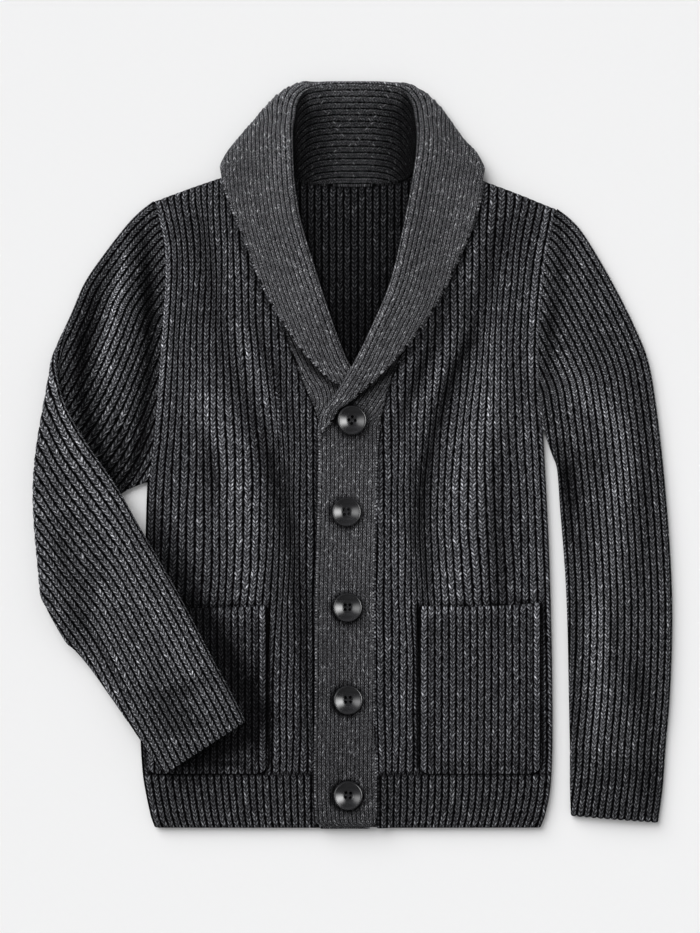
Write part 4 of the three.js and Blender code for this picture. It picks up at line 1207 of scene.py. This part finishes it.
def band(name, rows, material):
    """One half of the front band and collar: ribs along it, from the hem to the centre of the back neck."""
    outward = np.sign(rows["fx"][len(rows["fx"]) // 2])
    rows = finer_rows(rows, BAND_ROW_SPACING)
    sections = band_sections(rows, outward)
    steps = 8
    lines = flowing(sections.transpose(1, 0, 2), steps).transpose(1, 0, 2)
    ribs = rib_columns(-STAND_RIBS, FALL_RIBS)
    reach = band_reach(ribs[None, :], rows)
    mid = np.empty(reach.shape + (3,))
    rib = np.empty(reach.shape)
    from_edge = np.empty(reach.shape)
    for k, line in enumerate(lines):
        along = lengths(line)
        to_roll = along[ROLL_POINT * steps]
        at = np.clip(to_roll + reach[k], EDGE / 2, along[-1] - EDGE)
        rib[k] = np.interp(at - to_roll, reach[k], ribs) - 0.5 * (outward > 0)
        from_edge[k] = np.minimum(at, along[-1] - EDGE - at)
        for axis in range(3):
            mid[k, :, axis] = np.interp(at, along, line[:, axis])
    up = rows["ay"][:, None]
    collar = smooth(up, 60, 150)
    near_roll = np.exp(-np.clip(ribs[None, :] - 4, 0, None) / 3.5)
    outer_depth = lerp(0.55, lerp(0.55, 1.25, near_roll), collar)
    depth = np.where(ribs[None, :] < 0, lerp(0.55, 1.15, collar), outer_depth)
    depth = np.maximum(depth, 1.1 * smooth(up, 340, 372)) * lerp(RIM_RIB, 1, smooth(from_edge, 0, 7))
    stitch = -np.broadcast_to(rows["along"][:, None], reach.shape) / BAND_STITCH
    buttons = [button_centre(number) / MM for number in BUTTONS] if outward > 0 else []

    def lie(x, y, rib, _):
        # Painted shade inside the collar's stand, darker away from the roll and towards its sides
        stand = smooth(-rib, -0.4, 1.2) * smooth(y, 200, 290)
        inside = lerp(-0.3, -0.66, smooth(-rib, 1, 6)) - 0.28 * smooth(np.abs(x - 2), 8, 44)
        inside = np.maximum(inside - 0.6 * smooth(np.abs(x - 2), 42, 60), -1)
        lapel = (0.12 if outward < 0 else 0.0) + 0.1 * wander(4 * x, 3 * y, 9)
        lapel = lapel - 0.32 * fading(y, -380, -60) - 0.1 * fading(y, 0, 80)
        # Painted shadows of the lapels' edges on the band's strip below them
        under = fold_shade_and_rise(BAND_EDGE_SHADOWS[2:4], x, y)[0] * smooth(-rib, 0, 1) * (1 - stand)
        shade = lerp(lapel, inside, stand) + np.minimum(under, 0)
        # Painted shadow round each button
        for button in buttons:
            beside = np.hypot(x - button.x + 1.2, y - button.y + 1.2)
            shade = shade - 0.8 * fading(beside, 14, 21)
        return shade

    # A painted highlight along the band's rim
    return panel(name, mid, rib, stitch, material, lie, depth=depth, rim_painted_light=0.1)


# ---------------------------------------------------------------- materials


class Nodes:
    """Short way to add nodes to a node tree and join them."""

    def __init__(self, tree):
        self.tree = tree

    def add(self, kind, inputs=None, **settings):
        node = self.tree.nodes.new(kind)
        for key, value in settings.items():
            setattr(node, key, value)
        for key, value in (inputs or {}).items():
            self.feed(node.inputs[key], value)
        return node

    def feed(self, socket, value):
        if isinstance(value, bpy.types.NodeSocket):
            self.tree.links.new(value, socket)
        elif value is not None:
            socket.default_value = value

    def math(self, operation, *values, clamp=False):
        node = self.add("ShaderNodeMath", dict(enumerate(values)), operation=operation, use_clamp=clamp)
        return node.outputs[0]

    def times(self, *values, **settings):
        return self.math("MULTIPLY", *values, **settings)

    def plus(self, *values):
        return self.math("ADD", *values)

    def minus(self, *values, **settings):
        return self.math("SUBTRACT", *values, **settings)

    def times_plus(self, *values, **settings):
        """The first two multiplied, and the third added."""
        return self.math("MULTIPLY_ADD", *values, **settings)

    def step(self, value, low, high):
        """0 below `low`, 1 above `high`, smooth between them."""
        inputs = {"Value": value, "From Min": low, "From Max": high}
        return self.add("ShaderNodeMapRange", inputs, interpolation_type="SMOOTHSTEP").outputs["Result"]

    def vector(self, x, y, z=0.0):
        return self.add("ShaderNodeCombineXYZ", {0: x, 1: y, 2: z}).outputs[0]

    def noise(self, vector, scale, detail=1.0):
        node = self.add("ShaderNodeTexNoise", {"Vector": vector, "Scale": scale, "Detail": detail})
        return node.outputs["Fac"]

    def chance(self, vector):
        return self.add("ShaderNodeTexWhiteNoise", {"Vector": vector}).outputs["Value"]

    def blend(self, part, first, second, way="MIX"):
        """Colour between two colours, or the second one laid over the first some other way."""
        inputs = {0: part, 6: first, 7: second}
        return self.add("ShaderNodeMix", inputs, data_type="RGBA", blend_type=way).outputs[2]

    def mix(self, way, first, second):
        return self.blend(1.0, first, second, way)


def new_group(name, inputs, outputs):
    tree = bpy.data.node_groups.new(name, "ShaderNodeTree")
    for key, (kind, value) in inputs.items():
        socket = tree.interface.new_socket(name=key, in_out="INPUT", socket_type=kind)
        if value is not None:
            socket.default_value = value
    for key, kind in outputs.items():
        tree.interface.new_socket(name=key, in_out="OUTPUT", socket_type=kind)
    nodes = Nodes(tree)
    return tree, nodes, nodes.add("NodeGroupInput").outputs, nodes.add("NodeGroupOutput").inputs


def knit_group():
    """Knit stitches from rib and stitch coordinates: two slanted legs to a rib, and a purl valley by it, with
    painted shade between the legs and in the valley.
    """
    number = "NodeSocketFloat"
    tree, n, given, made = new_group(
        "knit_stitches",
        {
            "Slant": (number, 1.15), "Valley": (number, 0.80), "Valley Depth": (number, 0.99),
            "Gap Depth": (number, 0.9), "Bright Stitches": (number, 0.02),
            "Fade From": (number, 1000.0), "Fade To": (number, 1001.0), "Faded": (number, 0.4),
        },
        {"Height": number, "Shade": number, "Flecks": number},
    )
    uv = n.add("ShaderNodeUVMap", uv_map=UV_NAME).outputs["UV"]
    place = n.add("ShaderNodeSeparateXYZ", {0: uv}).outputs
    rib, stitch = place[0], place[1]
    # The knitter's hand: stitches and ribs that are never quite even
    uneven = n.noise(n.vector(n.times(rib, 0.9), n.times(stitch, 0.45)), 1.0, 2.0)
    uneven = n.minus(uneven, 0.5)
    swerve = n.noise(n.vector(n.math("FLOOR", rib), n.times(stitch, 0.7), 5.0), 1.0, 1.0)
    across = n.math("FRACT", rib)
    from_crest = n.times_plus(n.minus(swerve, 0.5), 0.38, across)
    leg = n.math("GREATER_THAN", from_crest, 0.5)
    from_crest = n.math("ABSOLUTE", n.minus(n.times(from_crest, 2.0), 1.0))
    column = n.plus(n.math("FLOOR", rib), n.times(leg, 0.37))
    slanted = n.minus(stitch, n.times(from_crest, given["Slant"]))
    slanted = n.plus(slanted, n.times(n.chance(n.vector(column, 3.0)), 0.16))
    slanted = n.times_plus(uneven, 0.7, slanted)
    along, count = n.math("FRACT", slanted), n.math("FLOOR", slanted)
    hump = n.math("ABSOLUTE", n.minus(n.times(along, 2.0), 1.0))
    hump = n.step(n.minus(1.0, hump), 0.18, 0.82)
    # Each leg is fullest in its middle, half way from the crest to the valley
    off = n.math("DIVIDE", from_crest, given["Valley"])
    off = n.math("ABSOLUTE", n.times_plus(off, 2.0, -0.98))
    full = n.minus(1.0, n.math("POWER", off, 1.9), clamp=True)
    legs = n.times(hump, full)
    ragged = n.noise(n.vector(n.times(rib, 2.0), n.times(slanted, 1.1), 9.0), 1.0, 1.0)
    ragged = n.times_plus(n.minus(ragged, 0.5), 0.45, from_crest)
    in_valley = n.step(ragged, n.minus(given["Valley"], 0.16), given["Valley"])
    plied = n.plus(n.times(along, 2.6), n.times(from_crest, 3.4))
    plied = n.math("SINE", n.times(plied, 6.2832))
    height = n.times(n.times_plus(plied, 0.08, legs), n.times_plus(in_valley, -0.85, 1.0))
    own = n.chance(n.vector(column, count, 7.0))
    # Marl: short light hairs that lie along each leg
    strand = n.vector(n.times(rib, 5.0), n.times(slanted, 2.2), column)
    light = n.step(n.noise(strand, 1.0, 2.0), 0.46, 0.66)
    hairs = n.vector(n.times(rib, 8.0), n.times(slanted, 4.5))
    light = n.times_plus(n.step(n.noise(hairs, 1.0), 0.5, 0.66), 0.6, n.times(light, 0.4))
    bright = n.math("GREATER_THAN", own, n.minus(1.0, given["Bright Stitches"]))
    flecks = n.times(light, n.times_plus(own, 0.3, 0.75))
    flecks = n.times_plus(bright, 0.35, flecks, clamp=True)
    # Painted shade in the gaps between the legs
    gap = n.times(n.minus(1.0, legs), given["Gap Depth"])
    faded = n.times(n.step(rib, given["Fade From"], given["Fade To"]), given["Faded"])
    # Purl loops that show here and there at the bottom of a valley
    loops = n.vector(n.times(rib, 1.3), n.times(stitch, 1.7), 21.0)
    faded = n.times_plus(n.step(n.noise(loops, 1.0), 0.52, 0.74), 0.2, faded)
    # Painted shade in the valleys, less where they fade and where purl loops show
    sunk = n.times(in_valley, n.minus(given["Valley Depth"], faded))
    shade = n.times(n.minus(1.0, gap), n.minus(1.0, sunk))
    shade = n.times(shade, n.times_plus(own, 0.5, 0.72))
    n.feed(made["Height"], height)
    n.feed(made["Shade"], shade)
    n.feed(made["Flecks"], flecks)
    return tree


def painted_light_group():
    """Painted highlight on the cloth's crests and painted shade in its hollows, as a factor on the colour: 1
    where it is neither.
    """
    number = "NodeSocketFloat"
    tree, n, given, made = new_group(
        "painted_crest_highlight_and_hollow_shade", {"Painted Highlight": (number, 1.5), "Painted Shade": (number, 0.92)}, {"Light": number}
    )
    lie = n.add("ShaderNodeAttribute", attribute_name=PAINTED_LIGHT_ATTRIBUTE).outputs["Fac"]
    crest, hollow = n.math("MAXIMUM", lie, 0.0), n.math("MAXIMUM", n.times(lie, -1.0), 0.0)
    hollow = n.minus(1.0, n.times(n.math("MINIMUM", hollow, 1.0), given["Painted Shade"]))
    n.feed(made["Light"], n.plus(hollow, n.times(crest, given["Painted Highlight"])))
    return tree


KNIT, PAINTED_LIGHT_GROUP = knit_group(), painted_light_group()
DARKEST = (0.001, 0.001, 0.0012, 1)  # what even the deepest gap between stitches gives back


def blank_material(name):
    """New material with no nodes yet, and the way to add them."""
    material = bpy.data.materials.new(name)
    material.use_nodes = True
    material.node_tree.nodes.clear()
    return material, Nodes(material.node_tree)


def shaded(nodes, inputs):
    """Gives a material its surface."""
    surface = nodes.add("ShaderNodeBsdfPrincipled", inputs)
    nodes.add("ShaderNodeOutputMaterial", {"Surface": surface.outputs[0]})


def wool(name, dark, light, bump=0.9, relief=0.0011, **stitches):
    """Marled wool: a dark yarn with light hairs, with painted shade between the stitches and ribs and the
    cloth's painted highlight and shade.
    """
    material, n = blank_material(name)
    knit = n.add("ShaderNodeGroup", node_tree=KNIT)
    for key, value in stitches.items():
        knit.inputs[key.replace("_", " ").title()].default_value = value
    yarn = n.blend(knit.outputs["Flecks"], (*dark, 1), (*light, 1))
    # Painted shade of the stitches, times the painted highlight and shade of the cloth
    shown = n.times(knit.outputs["Shade"], n.add("ShaderNodeGroup", node_tree=PAINTED_LIGHT_GROUP).outputs["Light"])
    coat = n.mix("MULTIPLY", yarn, n.vector(shown, shown, shown))
    coat = n.mix("ADD", coat, DARKEST)
    normal = n.add("ShaderNodeBump", {"Strength": bump, "Distance": relief, "Height": knit.outputs["Height"]})
    rough = n.times_plus(knit.outputs["Flecks"], -0.12, 0.97)
    shaded(n, {
        "Base Color": coat, "Roughness": rough, "Normal": normal.outputs[0],
        "Specular IOR Level": 0.02, "Sheen Weight": 0.01, "Sheen Roughness": 0.5,
    })
    return material


def resin():
    """Polished dark resin of the buttons, with faint cloudy streaks and fine scratches."""
    material, n = blank_material("button_resin")
    where = n.add("ShaderNodeTexCoord").outputs["Object"]
    stretched = n.add("ShaderNodeMapping", {"Vector": where, "Scale": (60, 260, 60)}).outputs[0]
    streaks = n.step(n.noise(stretched, 1.0, 3.0), 0.35, 0.75)
    colour = n.blend(streaks, (0.008, 0.008, 0.009, 1), (0.019, 0.019, 0.021, 1))
    worn = n.noise(where, 900.0, 2.0)
    rough = n.times_plus(worn, 0.08, 0.15)
    normal = n.add("ShaderNodeBump", {"Strength": 0.04, "Distance": 0.0002, "Height": worn})
    shaded(n, {"Base Color": colour, "Roughness": rough, "Normal": normal.outputs[0], "IOR": 1.56})
    return material


def thread_material():
    """Dark twisted sewing thread."""
    material, n = blank_material("button_thread")
    where = n.add("ShaderNodeTexCoord").outputs["Object"]
    twist = {"Vector": where, "Scale": 900.0, "Distortion": 1.0}
    winding = n.add("ShaderNodeTexWave", twist, bands_direction="Z")
    colour = n.blend(winding.outputs["Fac"], (0.006, 0.006, 0.007, 1), (0.02, 0.02, 0.022, 1))
    normal = n.add("ShaderNodeBump", {"Strength": 0.6, "Distance": 0.0003, "Height": winding.outputs["Fac"]})
    shaded(n, {"Base Color": colour, "Roughness": 0.8, "Normal": normal.outputs[0]})
    return material


BODY_WOOL = wool("body_rib_wool", (0.064, 0.065, 0.0725), (0.60, 0.608, 0.65))
SLEEVE_WOOL = wool("sleeve_rib_wool", (0.074, 0.075, 0.083), (0.66, 0.67, 0.71), valley=0.77)
EDGE_WOOL = wool("edge_rib_wool", (0.067, 0.068, 0.075), (0.58, 0.59, 0.625), valley=0.76)
BAND_WOOL = wool(
    "band_rib_wool", (0.072, 0.072, 0.079), (0.80, 0.805, 0.845),
    slant=1.15, valley=0.90, valley_depth=0.98, gap_depth=0.76, bright_stitches=0.04, bump=1.0,
    fade_from=6.0, fade_to=15.0, faded=0.12,
)
RESIN = resin()


# ---------------------------------------------------------------- buttons


# How far each button is turned in its buttonhole, and how it tips about X and Y, in degrees
BUTTON_SET = {1: (-6, 4, 1.5), 2: (50, 0, 0), 3: (45, 0.6, 0.8), 4: (47, 1.8, 1.6), 5: (39, 2.8, 1.8)}


def button_profile():
    """Radius and height of the button's outline, from under its middle round the rim to its well; radius 1."""
    outline = [(0.0, 0.0), (0.55, 0.0), (0.82, 0.03), (0.94, 0.10), (0.985, 0.17), (1.0, 0.215)]
    outline += [(0.992, 0.262), (0.972, 0.298), (0.945, 0.322), (0.915, 0.333), (0.888, 0.330)]
    outline += [(0.868, 0.318), (0.852, 0.300), (0.842, 0.289), (0.830, 0.286)]
    for k in range(13):
        r = 0.82 - 0.036 * k
        outline.append((r, 0.072 + 0.312 * r * r))
    outline += [(0.375, 0.113), (0.362, 0.104), (0.35, 0.092), (0.335, 0.085), (0.31, 0.083), (0.0, 0.083)]
    return outline


def button(number, material):
    """Turned button with a raised rim, a dished face, a small well and four holes."""
    low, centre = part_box(f"button_{number}")[0], button_centre(number)
    radius, around = BUTTON_RADIUS, BUTTON_CORNERS
    name = f"resin_button_{number}"
    work = bmesh.new()
    rings = []
    for r, h in button_profile():
        angles = [2 * math.pi * k / around for k in range(around if r else 1)]
        ring = [(r * math.cos(a), r * math.sin(a), h) for a in angles]
        rings.append([work.verts.new(Vector(point) * radius) for point in ring])
    for inner, outer in zip(rings, rings[1:]):
        for k in range(around):
            after = (k + 1) % around
            if len(inner) == 1:
                work.faces.new((inner[0], outer[k], outer[after]))
            elif len(outer) == 1:
                work.faces.new((inner[k], outer[0], inner[after]))
            else:
                work.faces.new((inner[k], outer[k], outer[after], inner[after]))
    bmesh.ops.recalc_face_normals(work, faces=work.faces)
    mesh = bpy.data.meshes.new(name)
    work.to_mesh(mesh)
    work.free()
    piece = placed(name, mesh)
    turn, tip_x, tip_y = (math.radians(angle) for angle in BUTTON_SET[number])
    drills = bmesh.new()
    for hole in range(4):
        angle = turn + hole * math.pi / 2
        out = BUTTON_HOLE_CIRCLE * radius
        place = Matrix.Translation((out * math.cos(angle), out * math.sin(angle), 0))
        bore = BUTTON_HOLE * radius
        bmesh.ops.create_cone(
            drills, cap_ends=True, segments=28, radius1=bore, radius2=bore, depth=radius, matrix=place
        )
    drill_mesh = bpy.data.meshes.new("drills")
    drills.to_mesh(drill_mesh)
    drills.free()
    drill = placed("drills", drill_mesh)
    cut = piece.modifiers.new("holes", "BOOLEAN")
    cut.object, cut.operation, cut.solver = drill, "DIFFERENCE", "EXACT"
    bpy.context.view_layer.objects.active = piece
    bpy.ops.object.modifier_apply(modifier=cut.name)
    bpy.data.objects.remove(drill)
    piece.data.polygons.foreach_set("use_smooth", [True] * len(piece.data.polygons))
    piece.data.set_sharp_from_angle(angle=math.radians(50))
    piece.data.materials.clear()
    piece.data.materials.append(material)
    piece.rotation_euler = (tip_x, tip_y, 0)
    tipped = 0.55 * (math.sin(tip_x) + math.sin(tip_y)) if number > 1 else 0.9 * math.sin(0.07)
    rise = radius * tipped
    piece.location = (centre.x, centre.y, low.z + rise + 0.0001)
    return piece


# ---------------------------------------------------------------- the cardigan


def knitted(piece, nodes):
    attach(piece, "root")
    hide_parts(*nodes)
    return piece


knitted(back(BODY_WOOL), ["back_panel"])
for SIDE in ("right", "left"):
    knitted(front(SIDE, BODY_WOOL), [f"front_{SIDE}"])
    knitted(pocket(SIDE, BODY_WOOL), [f"pocket_{SIDE}"])

RIGHT_EDGE, LEFT_EDGE = hem_edge("right"), hem_edge("left")
BACK_HEM = hem("back_hem", RIGHT_EDGE, LEFT_EDGE, back_hem_mid, EDGE_WOOL, front_painted_shade("left", -0.1), swell=0)
RIGHT_HEM = hem(
    "right_hem", RIGHT_EDGE, straight_edge(-34.0), hem_mid("right"), EDGE_WOOL, front_painted_shade("right", -0.2)
)
LEFT_HEM = hem("left_hem", LEFT_EDGE, straight_edge(26.5), hem_mid("left"), EDGE_WOOL, front_painted_shade("left", -0.2))
knitted(BACK_HEM, ["hem_back"])
knitted(RIGHT_HEM, ["hem_right"])
knitted(LEFT_HEM, ["hem_left"])

for SIDE in ("right", "left"):
    SLEEVE = Sleeve(SIDE)
    TUBE = sleeve_tube(f"{SIDE}_sleeve", SLEEVE, sleeve_rows(SLEEVE), RIB * 0.94, SLEEVE_WOOL, RIB_DEPTH)
    knitted(TUBE, [f"sleeve_{SIDE}"])
    ROWS, INSET = cuff_rows(SLEEVE)
    CUFF = sleeve_tube(f"{SIDE}_cuff", SLEEVE, ROWS, 7.0, EDGE_WOOL, 1.4, INSET)
    knitted(CUFF, [f"cuff_{SIDE}"])

RIGHT_BAND = band("right_band", BAND_RIGHT, BAND_WOOL)
LEFT_BAND = band("left_band", BAND_LEFT, BAND_WOOL)
knitted(RIGHT_BAND, ["band_right"])
for NUMBER in BUTTONS:
    BUTTON = button(NUMBER, RESIN)
    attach(BUTTON, "root")
    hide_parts(f"button_{NUMBER}")
knitted(
    LEFT_BAND, ["band_left"]
)

THREAD = thread_material()
for NUMBER in BUTTONS:
    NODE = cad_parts[f"thread_{NUMBER}"]
    NODE.data.materials.clear()
    NODE.data.materials.append(THREAD)


# ---------------------------------------------------------------- floor, light and camera


def floor():
    mesh = bpy.data.meshes.new("floor")
    size = 6.0
    corners = [(-size, -size, 0), (size, -size, 0), (size, size, 0), (-size, size, 0)]
    mesh.from_pydata(corners, [], [(0, 1, 2, 3)])
    sheet = placed("floor", mesh)
    sheet.location.z = -FLOOR_DROP
    material = bpy.data.materials.new("pale_floor")
    material.use_nodes = True
    shader = material.node_tree.nodes["Principled BSDF"]
    shader.inputs["Base Color"].default_value = (0.86, 0.86, 0.865, 1)
    shader.inputs["Roughness"].default_value = 0.9
    shader.inputs["Specular IOR Level"].default_value = 0.2
    mesh.materials.append(material)


def sun(name, height, azimuth, spread, strength):
    """Soft light from far away, which gloss doesn't show.

    It comes from `height` degrees above the floor and `azimuth` degrees anticlockwise from +X.
    """
    light = bpy.data.lights.new(name, "SUN")
    light.angle, light.energy = math.radians(spread), strength
    lamp = placed(name, light)
    up, round_ = math.radians(height), math.radians(azimuth)
    way = Vector((math.cos(up) * math.cos(round_), math.cos(up) * math.sin(round_), math.sin(up)))
    lamp.rotation_euler = (-way).to_track_quat("-Z", "Y").to_euler()
    lamp.visible_glossy = False


def studio():
    """Even white light, a softbox above and to the left, and two light cards that only gloss shows."""
    world = bpy.data.worlds.new("studio")
    bpy.context.scene.world = world
    world.use_nodes = True
    n = Nodes(world.node_tree)
    world.node_tree.nodes.clear()
    way = n.add("ShaderNodeSeparateXYZ", {0: n.add("ShaderNodeTexCoord").outputs["Generated"]}).outputs
    across = n.math("ABSOLUTE", way[0])
    card = n.times(n.step(across, 0.22, 0.58), n.minus(1.0, n.step(across, 0.72, 0.98)))
    card = n.times(card, n.minus(1.0, n.step(n.math("ABSOLUTE", way[1]), 0.0, 0.46)))
    card = n.times(card, n.times_plus(n.step(way[0], -0.2, 0.2), 8.5, 4.5))
    gloss = n.times_plus(card, 1.0, 0.2)
    glossy = n.add("ShaderNodeLightPath").outputs["Is Glossy Ray"]
    strength = n.add("ShaderNodeMix", {0: glossy, 2: 0.43, 3: gloss}).outputs[0]
    shade = n.add("ShaderNodeBackground", {"Color": (1, 1, 1, 1), "Strength": strength})
    n.add("ShaderNodeOutputWorld", {"Surface": shade.outputs[0]})
    sun("softbox", height=38, azimuth=130, spread=55, strength=3.1)


def camera():
    lens = bpy.data.cameras.new("camera")
    holder = placed("camera", lens)
    middle = [(low + high) / 2 + aside for low, high, aside in zip(*CAD_BOX, CAMERA_ASIDE)]
    holder.location = (*middle, CAMERA_HEIGHT)
    lens.sensor_width = 36
    lens.lens = lens.sensor_width * CAMERA_HEIGHT / VIEW_HEIGHT
    lens.dof.use_dof = False
    bpy.context.scene.camera = holder


floor()
studio()
camera()
bpy.context.scene.view_settings.view_transform = "Standard"
